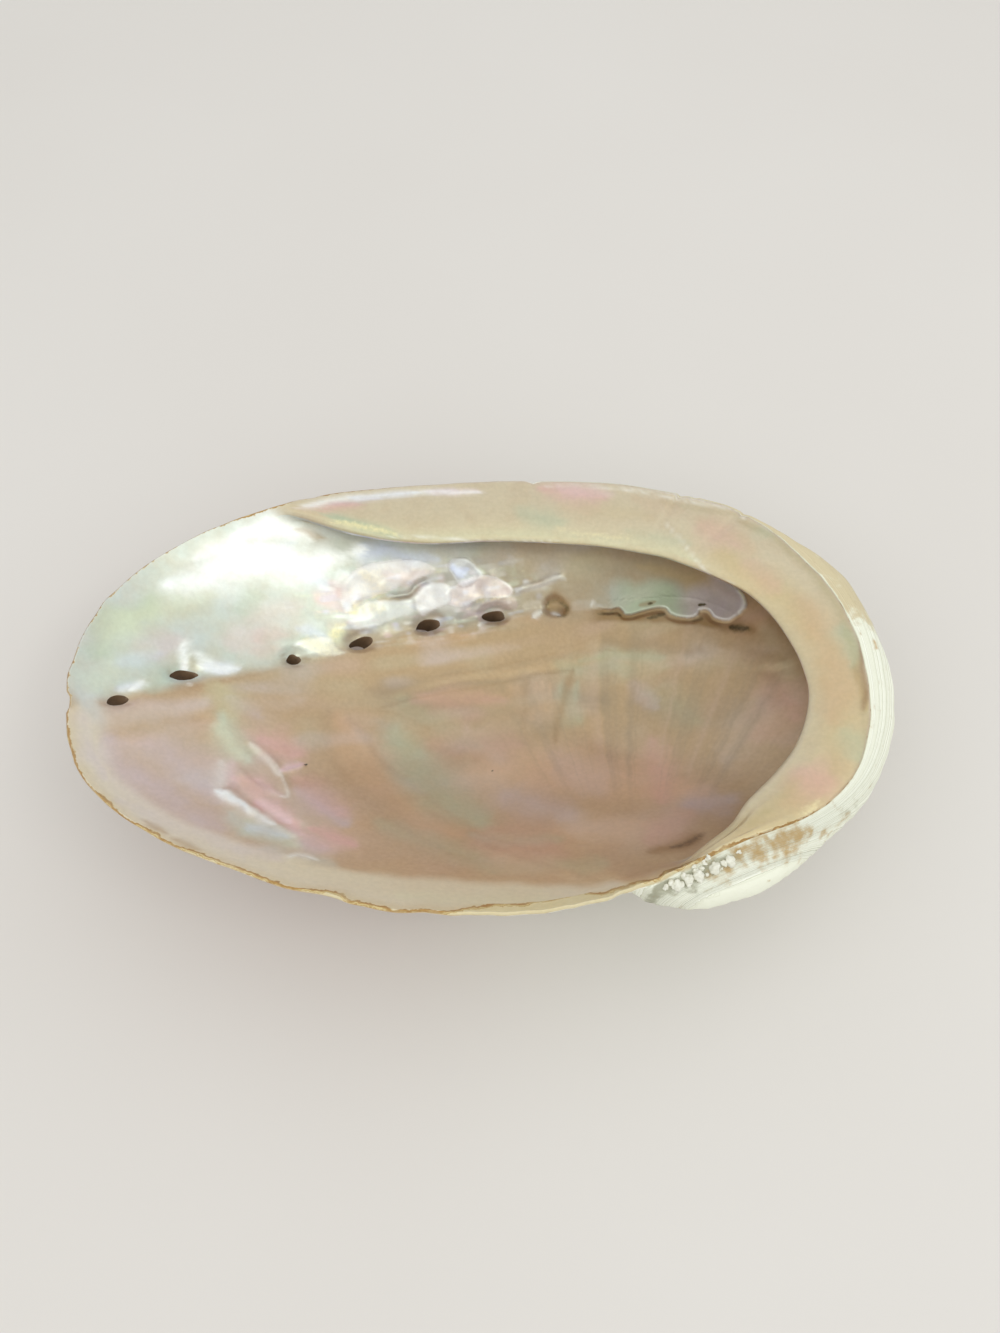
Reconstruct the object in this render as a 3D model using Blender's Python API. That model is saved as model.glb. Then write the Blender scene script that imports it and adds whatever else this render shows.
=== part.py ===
"""Abalone shell lying on its back, bowl upward, as one closed body. Metres, Z up."""

import bpy
import bmesh
import math
import numpy as np
from mathutils import Vector

for old in list(bpy.data.objects):
    bpy.data.objects.remove(old, do_unlink=True)

MM = 0.001

# Plane of the opening: height over the crown, rise towards -X and towards -Y
OPENING_HEIGHT = 36.0
RISE_LEFT = math.tan(math.radians(2.5))
RISE_NEAR = math.tan(math.radians(9.0))

# Middle of the bowl, from which every angle and radius below is measured
CENTRE_X = 14.0
CENTRE_Y = 4.0

# Point of the layout that becomes the origin, under the middle of the outline
ORIGIN_X = -0.98
ORIGIN_Y = 1.0

# Lip of the shell: angle in degrees, radius in mm
RIM = (
    (-176, 96.8), (-170, 96.2), (-165, 95.2), (-160, 92.4), (-154, 86.9), (-147, 80.2),
    (-139, 73.3), (-130, 67.2), (-120, 62.0), (-108, 57.2), (-96, 53.8), (-84, 51.2),
    (-74, 49.5), (-66, 48.8), (-58, 49.0), (-50, 50.6), (-42, 53.6), (-34, 56.4),
    (-26, 58.2), (-16, 59.0), (-5, 59.0), (6, 59.1), (17, 58.6), (28, 57.4), (38, 56.6),
    (48, 54.8), (60, 51.2), (74, 48.6), (90, 47.2), (106, 48.6), (120, 52.6), (132, 58.9),
    (142, 66.8), (150, 74.2), (157, 80.6), (163, 85.9), (169, 91.0), (176, 95.3),
)

# Flat ledge inside the lip: angle, width
LEDGE = (
    (-178, 1.4), (-120, 1.4), (-82, 1.4), (-74, 1.6), (-66, 2.4), (-58, 3.0), (-52, 4.4),
    (-44, 8.2), (-34, 10.8), (-25, 11.5), (-16, 11.4), (-8, 11.2), (-1, 12.0), (7, 13.3),
    (16, 14.4), (25, 15.6), (35, 18.3), (45, 19.6), (56, 18.9), (70, 18.0), (87, 17.1),
    (102, 16.8), (119, 17.4), (130, 19.0), (137, 19.6), (142, 18.2), (145.5, 14.6),
    (148, 9.0), (150, 4.6), (153, 1.6), (160, 1.4),
)

# How much of the hollow under the ledge is there: angle, share
UNDERCUT = (
    (-180, 0), (-78, 0), (-72, 0.2), (-66, 0.55), (-58, 0.85), (-50, 1), (130, 1),
    (143, 1), (146.5, 0.92), (149, 0.5), (151.5, 0), (165, 0),
)

# Wall of the bowl near the lip: angle, distance beyond the lip, depth below it
WALL = (
    (-180, -2.6, 2.6), (-110, -2.6, 2.8), (-88, -2.5, 3.4), (-70, -2.4, 4.8), (-58, -1.8, 6.4),
    (-46, 0.0, 7.8), (-33, 1.6, 8.6), (0, 3.6, 9.2), (25, 3.0, 9.4), (48, -0.8, 9.0),
    (90, -2.2, 8.2), (118, -3.2, 6.4), (135, -4.6, 4.4), (150, -5.4, 2.8), (165, -4.0, 2.4),
)

# How far the outside stands beyond the lip: angle, distance
BULGE = (
    (-180, -8.0), (-100, -8.0), (-86, -4.5), (-79, -0.5), (-75, 2.0), (-70, 4.8), (-66, 6.6),
    (-61, 7.6), (-55, 8.4), (-48, 7.4), (-41, 5.4), (-34, 4.8), (-26, 5.0), (-18, 5.7),
    (-10, 6.9), (-2, 7.6), (7, 7.3), (15, 7.6), (21, 8.0), (27, 7.0), (33, 4.8), (41, 2.8),
    (52, 2.0), (68, 1.4), (95, 1.1), (115, 0.4), (130, -1.0), (144, -3.2), (158, -6.0),
    (170, -8.0),
)
BULGE_DROP = 7.5

# Keel with the row of holes, from the lip to the spire: x, y, depth of the groove
KEEL = (
    (-82, -13, 0.5), (-74, -6.5, 1.0), (-64.5, 2.5, 1.5), (-45, 11.5, 1.7), (-31, 18, 1.9),
    (-17, 23.5, 2.0), (-1.5, 27.5, 2.0), (12.5, 30, 2.0), (34, 31.5, 1.8), (46, 30, 1.6),
    (55, 23.5, 1.3), (60, 12, 0.8), (61, 0, 0.2),
)
KEEL_WIDTH = 7.0

# Open holes: x, y, length, width, turn of the length from X
HOLES = (
    (-74.2, -6.2, 4.6, 2.4, 14), (-64.8, 3.0, 5.4, 2.6, 4), (-44.8, 11.6, 2.8, 2.5, 12),
    (-31.2, 17.8, 4.6, 2.8, 24), (-16.5, 23.6, 4.8, 2.8, 16), (-1.4, 27.2, 4.6, 2.8, 6),
)
CLOSED_HOLE = (12.8, 29.8, 3.4, 2.6, 8)
TUBE_HEIGHT = 1.3
TUBE_WALL = 1.1

# Wall and bowl
BOWL_FLOOR = 2.8
WALL_CENTRE = 2.8
WALL_LIP = 1.6
BOWL_SHAPE = 0.35
WORN_RADIUS = 7.5

# Low coiled spire on the outside: x, y, radius, height
SPIRE = (43.0, -27.0, 15.0, 3.2)

# Grit stuck along the seam of the spire: angle, distance beyond the lip, radius
GRIT = ((-72, 2.4, 0.9), (-67, 3.0, 0.8), (-61, 2.6, 1.1), (-54, 2.3, 0.9))

AROUND = 90
BOWL_RINGS = 15
UNDER_RINGS = 13
OVAL_SIDES = 14


def lerp(a, b, t):
    return a + (b - a) * t


def metres(x, y, z):
    return (x - ORIGIN_X) * MM, (y - ORIGIN_Y) * MM, z * MM


def smooth(low, high, value):
    t = np.clip((value - low) / (high - low), 0.0, 1.0)
    return t * t * (3.0 - 2.0 * t)


def around(table, degrees):
    """Smooth closed curve through (angle, value) pairs."""
    pairs = sorted(table)
    angle = np.array([p[0] for p in pairs], float)
    value = np.array([p[1] for p in pairs], float)
    angle = np.concatenate([angle[-2:] - 360, angle, angle[:3] + 360])
    value = np.concatenate([value[-2:], value, value[:3]])
    slope = np.zeros(len(angle))
    slope[1:-1] = (value[2:] - value[:-2]) / (angle[2:] - angle[:-2])
    at = (np.asarray(degrees, float) - angle[1]) % 360 + angle[1]
    i = np.clip(np.searchsorted(angle, at, side="right") - 1, 1, len(angle) - 3)
    step = angle[i + 1] - angle[i]
    t = (at - angle[i]) / step
    start = value[i] * (1 + 2 * t) * (1 - t) ** 2 + slope[i] * step * t * (1 - t) ** 2
    end = value[i + 1] * t * t * (3 - 2 * t) + slope[i + 1] * step * t * t * (t - 1)
    return start + end


def opening_height(x, y):
    return OPENING_HEIGHT - RISE_LEFT * x - RISE_NEAR * y


def keel_path():
    """Points along the keel, closely spaced."""
    points = np.array(KEEL, float)
    at = np.arange(len(points))
    fine = np.linspace(0, len(points) - 1, 240)
    slope = np.gradient(points, axis=0)
    i = np.clip(fine.astype(int), 0, len(points) - 2)
    t = (fine - at[i])[:, None]
    start = points[i] * (1 + 2 * t) * (1 - t) ** 2 + slope[i] * t * (1 - t) ** 2
    end = points[i + 1] * t * t * (3 - 2 * t) + slope[i + 1] * t * t * (t - 1)
    return start + end


KEEL_POINTS = keel_path()


def keel_depth(x, y):
    """Depth of the groove that the keel makes in the bowl."""
    flat = np.stack([np.ravel(x), np.ravel(y)], 1)
    gap = np.linalg.norm(flat[:, None, :] - KEEL_POINTS[None, :, :2], axis=2)
    nearest = gap.argmin(axis=1)
    distance = np.sqrt(gap.min(axis=1) ** 2 + 0.3) - math.sqrt(0.3)
    depth = KEEL_POINTS[nearest, 2] * np.exp(-distance / KEEL_WIDTH)
    return depth.reshape(np.shape(x))


class Section:
    """Radii and heights of the shell at each angle."""

    def __init__(self, degrees):
        self.cos = np.cos(np.radians(degrees))
        self.sin = np.sin(np.radians(degrees))
        self.rim = around(RIM, degrees)
        ledge = around(LEDGE, degrees)
        self.shelf = np.clip(around(UNDERCUT, degrees), 0, 1)
        self.edge = self.rim - ledge
        self.outer = self.rim + around(BULGE, degrees)
        self.bulging = smooth(-5.0, 1.0, self.outer - self.rim)
        self.rim_z = opening_height(*self.place(self.rim))
        self.edge_z = opening_height(*self.place(self.edge)) - lerp(0.9, 1.6, self.shelf)
        self.reach = self.rim + around([(a, b) for a, b, c in WALL], degrees)
        self.height = self.rim_z - around([(a, c) for a, b, c in WALL], degrees)
        self.wall = lerp(self.edge - 1.5, self.reach, self.shelf)
        self.wall_z = self.bowl(self.wall)

    def place(self, radius):
        return CENTRE_X + radius * self.cos, CENTRE_Y + radius * self.sin

    def bowl(self, radius):
        """Height of the inside of the bowl."""
        s = radius / self.reach
        rise = s * s * (1 + BOWL_SHAPE) / (1 + BOWL_SHAPE * s)
        height = lerp(BOWL_FLOOR, self.height, rise) - keel_depth(*self.place(radius))
        room = opening_height(*self.place(radius)) - 1.5 - height
        return height + room - (room + np.sqrt(room * room + 1.5)) / 2

    def under(self, radius):
        """Height of the outside below the bowl."""
        slope = (self.bowl(radius + 0.5) - self.bowl(radius - 0.5)) / 1.0
        wall = lerp(WALL_CENTRE, WALL_LIP, np.clip(radius / self.rim, 0, 1) ** 2)
        height = self.bowl(radius) - wall * np.sqrt(1 + slope * slope)
        x, y = self.place(radius)
        near = np.hypot(x - SPIRE[0], y - SPIRE[1]) / SPIRE[2]
        return height - SPIRE[3] * np.exp(-near * near)


def section_points(degrees):
    """Closed outline of every section, from the middle of the bowl round to the crown."""
    s = Section(degrees)
    rings = []
    for k in range(1, BOWL_RINGS + 1):
        radius = s.wall * (k / BOWL_RINGS) ** 0.92
        rings.append((radius, s.bowl(radius)))
    nose_r = s.edge + lerp(-0.9, 0.3, s.shelf)
    nose_z = s.edge_z - lerp(1.2, 1.7, s.shelf)
    room = np.clip((s.rim_z - s.wall_z - 2) / 6, 0, 1) * s.shelf**2
    for t, lift in ((0.2, 2.6), (0.5, 2.2), (0.78, 0.9)):
        radius = lerp(s.wall, nose_r, t)
        rings.append((radius, lerp(s.wall_z, nose_z, t) + lift * room))
    rings.append((nose_r, nose_z))
    rings.append((s.edge + lerp(-0.45, -0.35, s.shelf), s.edge_z - lerp(0.6, 0.8, s.shelf)))
    rings.append((s.edge + lerp(0, 0.35, s.shelf), s.edge_z))
    for t, lift in ((0.3, 0.5), (0.65, 0.4)):
        rings.append((lerp(s.edge, s.rim, t), lerp(s.edge_z, s.rim_z, t) + lift * s.shelf))
    rings.append((s.rim - 0.45, s.rim_z))
    rings.append((s.rim, s.rim_z - 0.4))
    flank_r = s.rim - BULGE_DROP
    flank_z = s.under(flank_r)
    for t in (0.3, 0.65, 1.0):
        turn = t * math.pi / 2
        bulge_r = lerp(s.rim, s.outer, math.sin(turn))
        bulge_z = s.rim_z - 0.4 - BULGE_DROP * (1 - math.cos(turn))
        plain_r = lerp(s.rim, flank_r, t)
        plain_z = lerp(s.rim_z - 0.9, flank_z, t)
        rings.append((lerp(plain_r, bulge_r, s.bulging), lerp(plain_z, bulge_z, s.bulging)))
    top_r, top_z = rings[-1]
    low_r = s.rim * 0.74
    low_z = s.under(low_r)
    reach = 0.36 * np.hypot(top_r - low_r, top_z - low_z)
    low_lean = np.arctan(s.under(low_r + 0.5) - s.under(low_r - 0.5))
    top_lean = np.arctan2(s.rim_z - 0.9 - flank_z, BULGE_DROP)
    top_lean = lerp(top_lean, math.radians(84), s.bulging)
    a_r, a_z = low_r + reach * np.cos(low_lean), low_z + reach * np.sin(low_lean)
    b_r, b_z = top_r - reach * np.cos(top_lean), top_z - reach * np.sin(top_lean)
    for t in (0.84, 0.68, 0.52, 0.36, 0.18):
        u = 1 - t
        radius = u**3 * low_r + 3 * u * u * t * a_r + 3 * u * t * t * b_r + t**3 * top_r
        height = u**3 * low_z + 3 * u * u * t * a_z + 3 * u * t * t * b_z + t**3 * top_z
        rings.append((radius, height))
    for k in range(UNDER_RINGS, 0, -1):
        radius = lerp(WORN_RADIUS, low_r, (k - 1) / (UNDER_RINGS - 1))
        height = s.under(radius)
        if k == 1:
            height = height * 0
        rings.append((radius, np.maximum(height, 0.0)))
    return [(*s.place(radius), height) for radius, height in rings]


def even_angles(count):
    """Angles that give faces of about the same width all round."""
    fine = np.linspace(-180, 180, 1441)
    reach = np.cumsum(around(RIM, fine) ** 0.6)
    reach = (reach - reach[0]) / (reach[-1] - reach[0])
    return np.interp(np.arange(count) / count, reach, fine)


def shell_mesh():
    degrees = even_angles(AROUND)
    rings = section_points(degrees)
    mesh = bmesh.new()
    made = [[mesh.verts.new(metres(*spot)) for spot in zip(*ring)] for ring in rings]
    first = mesh.verts.new(metres(CENTRE_X, CENTRE_Y, BOWL_FLOOR))
    last = mesh.verts.new(metres(CENTRE_X, CENTRE_Y, 0.0))
    for i in range(AROUND):
        j = (i + 1) % AROUND
        mesh.faces.new((first, made[0][i], made[0][j]))
        mesh.faces.new((last, made[-1][j], made[-1][i]))
        for a, b in zip(made[:-1], made[1:]):
            mesh.faces.new((a[i], b[i], b[j], a[j]))
    bmesh.ops.recalc_face_normals(mesh, faces=mesh.faces)
    data = bpy.data.meshes.new("shell")
    mesh.to_mesh(data)
    mesh.free()
    return data


def wall_frame(x, y):
    """Point on the inside of the bowl and the direction out of the bowl there, in mm."""
    def height(px, py):
        radius = math.hypot(px - CENTRE_X, py - CENTRE_Y)
        degrees = math.degrees(math.atan2(py - CENTRE_Y, px - CENTRE_X))
        return float(Section(np.array([degrees])).bowl(np.array([radius]))[0])

    slope_x = (height(x + 2, y) - height(x - 2, y)) / 4
    slope_y = (height(x, y + 2) - height(x, y - 2)) / 4
    return Vector((x, y, height(x, y))), Vector((slope_x, slope_y, -1)).normalized()


def oval_prism(name, point, along, turn, rings):
    """Closed oval body; each ring is (distance along, half length, half width)."""
    side = Vector((math.cos(math.radians(turn)), math.sin(math.radians(turn)), 0))
    side = (side - along * side.dot(along)).normalized()
    across = along.cross(side)
    mesh = bmesh.new()
    made = []
    for distance, length, width in rings:
        ring = []
        for k in range(OVAL_SIDES):
            angle = 2 * math.pi * k / OVAL_SIDES
            spot = point + along * distance
            spot = spot + side * (length * math.cos(angle)) + across * (width * math.sin(angle))
            ring.append(mesh.verts.new(metres(*spot)))
        made.append(ring)
    for a, b in zip(made[:-1], made[1:]):
        for k in range(OVAL_SIDES):
            j = (k + 1) % OVAL_SIDES
            mesh.faces.new((a[k], a[j], b[j], b[k]))
    mesh.faces.new(made[0])
    mesh.faces.new(made[-1])
    bmesh.ops.recalc_face_normals(mesh, faces=mesh.faces)
    data = bpy.data.meshes.new(name)
    mesh.to_mesh(data)
    mesh.free()
    return bpy.data.objects.new(name, data)


def helper_collection(name, objects):
    collection = bpy.data.collections.new(name)
    bpy.context.scene.collection.children.link(collection)
    for helper in objects:
        collection.objects.link(helper)
        helper.hide_render = True
        helper.display_type = "WIRE"
    return collection


def hole_helpers():
    """Raised tubes on the outside, and the cutters through the wall."""
    tubes = []
    cutters = []
    for number, (x, y, length, width, turn) in enumerate(HOLES + (CLOSED_HOLE,)):
        point, out = wall_frame(x, y)
        half = length / 2
        slim = width / 2
        wall = lerp(WALL_CENTRE, WALL_LIP, 0.4)
        base = (wall - 0.9, half + TUBE_WALL + 1.8, slim + TUBE_WALL + 1.8)
        top = (wall + TUBE_HEIGHT, half + TUBE_WALL, slim + TUBE_WALL)
        tubes.append(oval_prism(f"tube_{number}", point, out, turn, (base, top)))
        through = 1.2 if number == len(HOLES) else 12.0
        cut = ((-9.0, half, slim), (through, half, slim))
        cutters.append(oval_prism(f"hole_{number}", point, out, turn, cut))
    return tubes, cutters


def grit_helpers():
    lumps = []
    for number, (degrees, beyond, radius) in enumerate(GRIT):
        s = Section(np.array([float(degrees)]))
        share = beyond / float(s.outer[0] - s.rim[0])
        turn = math.asin(share)
        x, y = s.place(s.rim + beyond)
        z = float(s.rim_z[0]) - 0.4 - BULGE_DROP * (1 - math.cos(turn))
        mesh = bmesh.new()
        bmesh.ops.create_icosphere(mesh, subdivisions=1, radius=radius * MM)
        bmesh.ops.translate(mesh, verts=mesh.verts, vec=metres(x[0], y[0], z))
        data = bpy.data.meshes.new(f"grit_{number}")
        mesh.to_mesh(data)
        mesh.free()
        lumps.append(bpy.data.objects.new(f"grit_{number}", data))
    return lumps


def add_boolean(owner, name, operation, collection):
    modifier = owner.modifiers.new(name, "BOOLEAN")
    modifier.operation = operation
    modifier.operand_type = "COLLECTION"
    modifier.collection = collection
    modifier.solver = "EXACT"


def shell_material():
    material = bpy.data.materials.new("nacre")
    material.use_nodes = True
    surface = material.node_tree.nodes["Principled BSDF"]
    surface.inputs["Base Color"].default_value = (0.58, 0.46, 0.36, 1)
    surface.inputs["Roughness"].default_value = 0.35
    surface.inputs["Metallic"].default_value = 0.0
    return material


shell = bpy.data.objects.new("shell", shell_mesh())
bpy.context.scene.collection.objects.link(shell)
shell.data.materials.append(shell_material())
tube_objects, hole_objects = hole_helpers()
added = helper_collection("added", tube_objects + grit_helpers())
cut_away = helper_collection("cut_away", hole_objects)
add_boolean(shell, "tubes_and_grit", "UNION", added)
add_boolean(shell, "holes", "DIFFERENCE", cut_away)
shell.data.shade_smooth()
shell.data.set_sharp_from_angle(angle=math.radians(50))
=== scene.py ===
"""Abalone shell lying on its back: nacre bowl, flat ledge, row of holes, chalky outside."""

import math

import bmesh
import bpy
import numpy as np
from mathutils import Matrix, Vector, kdtree
from mathutils.bvhtree import BVHTree


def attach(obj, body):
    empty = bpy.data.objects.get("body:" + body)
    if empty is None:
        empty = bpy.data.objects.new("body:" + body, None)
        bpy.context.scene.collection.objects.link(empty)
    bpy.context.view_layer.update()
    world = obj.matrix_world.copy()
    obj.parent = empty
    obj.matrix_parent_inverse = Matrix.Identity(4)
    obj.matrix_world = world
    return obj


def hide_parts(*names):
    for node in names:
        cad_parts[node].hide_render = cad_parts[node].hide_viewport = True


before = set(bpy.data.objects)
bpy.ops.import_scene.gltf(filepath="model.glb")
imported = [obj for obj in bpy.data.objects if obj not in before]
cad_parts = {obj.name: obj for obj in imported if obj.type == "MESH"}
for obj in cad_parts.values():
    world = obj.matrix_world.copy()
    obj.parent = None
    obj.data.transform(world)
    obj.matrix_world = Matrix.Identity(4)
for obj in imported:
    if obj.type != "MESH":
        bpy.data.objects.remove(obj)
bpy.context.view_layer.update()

# Metres in a millimetre
MM = 0.001

# Sizes of the shell, as the solid has them, in mm

# Height of the lip above the middle, and how the lip rises to the left and towards the front
OPENING_HEIGHT = 35.884
RISE_LEFT = math.tan(math.radians(2.5))
RISE_NEAR = math.tan(math.radians(9.0))

# Middle of the bowl, from which angles and radii are measured
CENTRE_X = 14.98
CENTRE_Y = 3.0

# Lip: angle in degrees, radius
RIM = (
    (-176, 96.8), (-170, 96.2), (-165, 95.2), (-160, 92.4), (-154, 86.9), (-147, 80.2),
    (-139, 73.3), (-130, 67.2), (-120, 62.0), (-108, 57.2), (-96, 53.8), (-84, 51.2),
    (-74, 49.5), (-66, 48.8), (-58, 49.0), (-50, 50.6), (-42, 53.6), (-34, 56.4),
    (-26, 58.2), (-16, 59.0), (-5, 59.0), (6, 59.1), (17, 58.6), (28, 57.4), (38, 56.6),
    (48, 54.8), (60, 51.2), (74, 48.6), (90, 47.2), (106, 48.6), (120, 52.6), (132, 58.9),
    (142, 66.8), (150, 74.2), (157, 80.6), (163, 85.9), (169, 91.0), (176, 95.3),
)

# Flat ledge inside the lip: angle, width
LEDGE = (
    (-178, 1.4), (-120, 1.4), (-82, 1.4), (-74, 1.6), (-66, 2.4), (-58, 3.0), (-52, 4.4),
    (-44, 8.2), (-34, 10.8), (-25, 11.5), (-16, 11.4), (-8, 11.2), (-1, 12.0), (7, 13.3),
    (16, 14.4), (25, 15.6), (35, 18.3), (45, 19.6), (56, 18.9), (70, 18.0), (87, 17.1),
    (102, 16.8), (119, 17.4), (130, 19.0), (137, 19.6), (142, 18.2), (145.5, 14.6),
    (148, 9.0), (150, 4.6), (153, 1.6), (160, 1.4),
)

# Share of the hollow under the ledge
UNDERCUT = (
    (-180, 0), (-78, 0), (-72, 0.2), (-66, 0.55), (-58, 0.85), (-50, 1), (130, 1),
    (143, 1), (146.5, 0.92), (149, 0.5), (151.5, 0), (165, 0),
)

# Wall of the bowl near the lip: angle, distance beyond the lip, depth below it
WALL = (
    (-180, -2.6, 2.1), (-110, -2.6, 2.4), (-88, -2.5, 3.4), (-70, -2.4, 4.8), (-58, -1.8, 6.4),
    (-46, 0.0, 7.8), (-33, 1.6, 8.6), (0, 3.6, 9.2), (25, 3.0, 9.4), (48, -0.8, 9.0),
    (90, -2.2, 8.2), (118, -3.2, 6.4), (135, -4.6, 4.4), (150, -5.4, 2.8), (165, -4.0, 2.2),
)

# How far the outside stands beyond the lip: angle, distance
BULGE = (
    (-180, -8.0), (-100, -8.0), (-86, -4.5), (-79, -0.5), (-75, 2.0), (-70, 4.8), (-66, 6.6),
    (-61, 7.6), (-55, 8.4), (-48, 7.4), (-41, 5.4), (-34, 4.8), (-26, 5.0), (-18, 5.7),
    (-10, 6.9), (-2, 7.6), (7, 7.3), (15, 7.6), (21, 8.0), (27, 7.0), (33, 4.8), (41, 2.8),
    (52, 2.0), (68, 1.4), (95, 1.1), (115, 0.4), (130, -1.0), (144, -3.2), (158, -6.0),
    (170, -8.0),
)
# How far below the lip it stands out most
BULGE_DROP = 7.5

# Keel with the row of holes: x, y, depth of the groove
KEEL = (
    (-81.0, -14.0, 0.5), (-73.0, -7.5, 1.0), (-63.5, 1.5, 1.5), (-44.0, 10.5, 1.7),
    (-30.0, 17.0, 1.9), (-16.0, 22.5, 2.0), (-0.5, 26.5, 2.0), (13.5, 29.0, 2.0),
    (35.0, 30.5, 1.8), (47.0, 29.0, 1.6), (56.0, 22.5, 1.3), (61.0, 11.0, 0.8),
    (62.0, -1.0, 0.2),
)
KEEL_WIDTH = 7.0
# Softness of the crease along the middle of the groove, bare and filled with nacre
CREASE_SOFT = 0.2
FILL_SOFT = 4.0

# Open holes: x, y, length, width, turn of the length from X
HOLES = (
    (-73.0, -7.0, 4.6, 2.2, 30), (-63.6, 2.0, 5.6, 2.2, 15), (-43.8, 10.6, 3.3, 2.4, 12),
    (-30.0, 16.9, 5.6, 2.7, 24), (-15.3, 22.7, 6.0, 2.7, 16), (-0.2, 26.2, 5.6, 2.6, 6),
)
CLOSED_HOLE = (13.8, 28.8, 3.4, 2.6, 8)

# Height of the bowl's deepest place, and how soon the bowl rises from it
BOWL_FLOOR = 2.8
BOWL_SHAPE = 0.35
# Thickness of the wall in the middle and at the lip
WALL_CENTRE = 2.8
WALL_LIP = 1.6
# Radius of the level spot that the shell rests on
WORN_RADIUS = 7.5
# Swelling of the outside below the spire: x, y, size, depth
SPIRE = (43.98, -28.0, 15.0, 3.2)
# Ledge's inner edge below the plane of the lip, where it is narrow and where it is wide
EDGE_DROP = (1.05, 1.6)
# How far inside the lip the bowl ends where there is no ledge
PLAIN_LIP = 6.0
# Share of the lip's radius at which the underside turns up into the flank, and how steeply
# the flank meets the bulge
FLANK_START = 0.74
BULGE_LEAN = math.radians(84)
# Width of the rounded lip
LIP_ROUND = 0.45
# How far the raised holes stand out of the underside
TUBE_RISE = 2.3

# How finely the shell is drawn: sections round it, rings along each section
AROUND = 370
BOWL_RINGS = 104
FLANK_RINGS = 22
UNDER_RINGS = 36
# Rings nearer to each other towards the lip
RING_PACE = 0.86
# Faces that meet at more than this many degrees stay sharp
SHARP_ANGLE = 55
# Sides of each hole
HOLE_SIDES = 36
# Places handled at once, which spares memory
AT_ONCE = 6000


def part_way(a, b, t):
    """Value between a and b, at the share t of the way."""
    return a + (b - a) * t


def smooth(low, high, value):
    """Soft step from 0 at low to 1 at high."""
    t = np.clip((value - low) / (high - low), 0.0, 1.0)
    return t * t * (3.0 - 2.0 * t)


def between(start, end, leave, arrive, t):
    """Smooth curve from start to end, which leaves and arrives at the slopes given."""
    first = start * (1 + 2 * t) * (1 - t) ** 2 + leave * t * (1 - t) ** 2
    return first + (end * t * t * (3 - 2 * t) + arrive * t * t * (t - 1))


def around(table, degrees):
    """Smooth closed curve through (angle, value) pairs."""
    pairs = sorted(table)
    angle = np.array([p[0] for p in pairs], float)
    value = np.array([p[1] for p in pairs], float)
    angle = np.concatenate([angle[-2:] - 360, angle, angle[:3] + 360])
    value = np.concatenate([value[-2:], value, value[:3]])
    slope = np.zeros(len(angle))
    slope[1:-1] = (value[2:] - value[:-2]) / (angle[2:] - angle[:-2])
    at = (np.asarray(degrees, float) - angle[1]) % 360 + angle[1]
    i = np.clip(np.searchsorted(angle, at, side="right") - 1, 1, len(angle) - 3)
    step = angle[i + 1] - angle[i]
    t = (at - angle[i]) / step
    return between(value[i], value[i + 1], slope[i] * step, slope[i + 1] * step, t)


def ripple(degrees, waves, seed):
    """Uneven waves round the shell, from -1 to 1, about `waves` to the turn."""
    value = np.random.RandomState(seed).uniform(-1, 1, waves)
    at = (np.asarray(degrees, float) / 360 % 1) * waves
    i = np.floor(at).astype(int)
    t = smooth(0, 1, at - i)
    return part_way(value[i % waves], value[(i + 1) % waves], t)


def cloud(x, y, size, seed):
    """Uneven patches over a plane, from -1 to 1, `size` mm across."""
    value = np.random.RandomState(seed).uniform(-1, 1, (64, 64))
    u, v = x / size + 500.0, y / size + 500.0
    i, j = np.floor(u).astype(int), np.floor(v).astype(int)
    s, t = smooth(0, 1, u - i), smooth(0, 1, v - j)
    low = part_way(value[i % 64, j % 64], value[(i + 1) % 64, j % 64], s)
    high = part_way(value[i % 64, (j + 1) % 64], value[(i + 1) % 64, (j + 1) % 64], s)
    return part_way(low, high, t)


def curve(points, count):
    """Smooth curve through points, as `count` closely spaced ones."""
    p = np.array(points, float)
    fine = np.linspace(0, len(p) - 1, count)
    slope = np.gradient(p, axis=0)
    i = np.clip(fine.astype(int), 0, len(p) - 2)
    t = (fine - i)[:, None]
    return between(p[i], p[i + 1], slope[i], slope[i + 1], t)


def beside(path, x, y):
    """Distance from a path, negative on its right, and the share of its length there."""
    lean = np.gradient(path[:, :2], axis=0)
    lean /= np.linalg.norm(lean, axis=1)[:, None]
    spots = np.stack([np.ravel(x), np.ravel(y)], 1)
    away = np.empty(len(spots))
    share = np.empty(len(spots))
    for start in range(0, len(spots), AT_ONCE):
        part = spots[start:start + AT_ONCE]
        gap = part[:, None, :] - path[None, :, :2]
        near = (gap**2).sum(axis=2).argmin(axis=1)
        gap = gap[np.arange(len(part)), near]
        side = lean[near, 0] * gap[:, 1] - lean[near, 1] * gap[:, 0]
        away[start:start + AT_ONCE] = np.where(side < 0, -1, 1) * np.hypot(*gap.T)
        share[start:start + AT_ONCE] = near / (len(path) - 1)
    return away.reshape(np.shape(x)), share.reshape(np.shape(x))


def drift(points, x, y, half):
    """Soft stroke along a path, from 1 in its middle to 0, narrower towards its ends."""
    path = curve(points, 14 * len(points))
    low, high = path.min(axis=0) - 2.6 * half, path.max(axis=0) + 2.6 * half
    near = (x > low[0]) & (x < high[0]) & (y > low[1]) & (y < high[1])
    field = np.zeros(np.shape(x))
    gap = np.hypot(x[near][:, None] - path[:, 0], y[near][:, None] - path[:, 1])
    closest = gap.argmin(axis=1)
    taper = 0.45 + 0.55 * np.sqrt(np.abs(np.sin(math.pi * closest / (len(path) - 1))))
    share = gap[np.arange(len(closest)), closest] / (half * taper)
    field[near] = np.exp(-0.8 * share * share)
    return field


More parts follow.
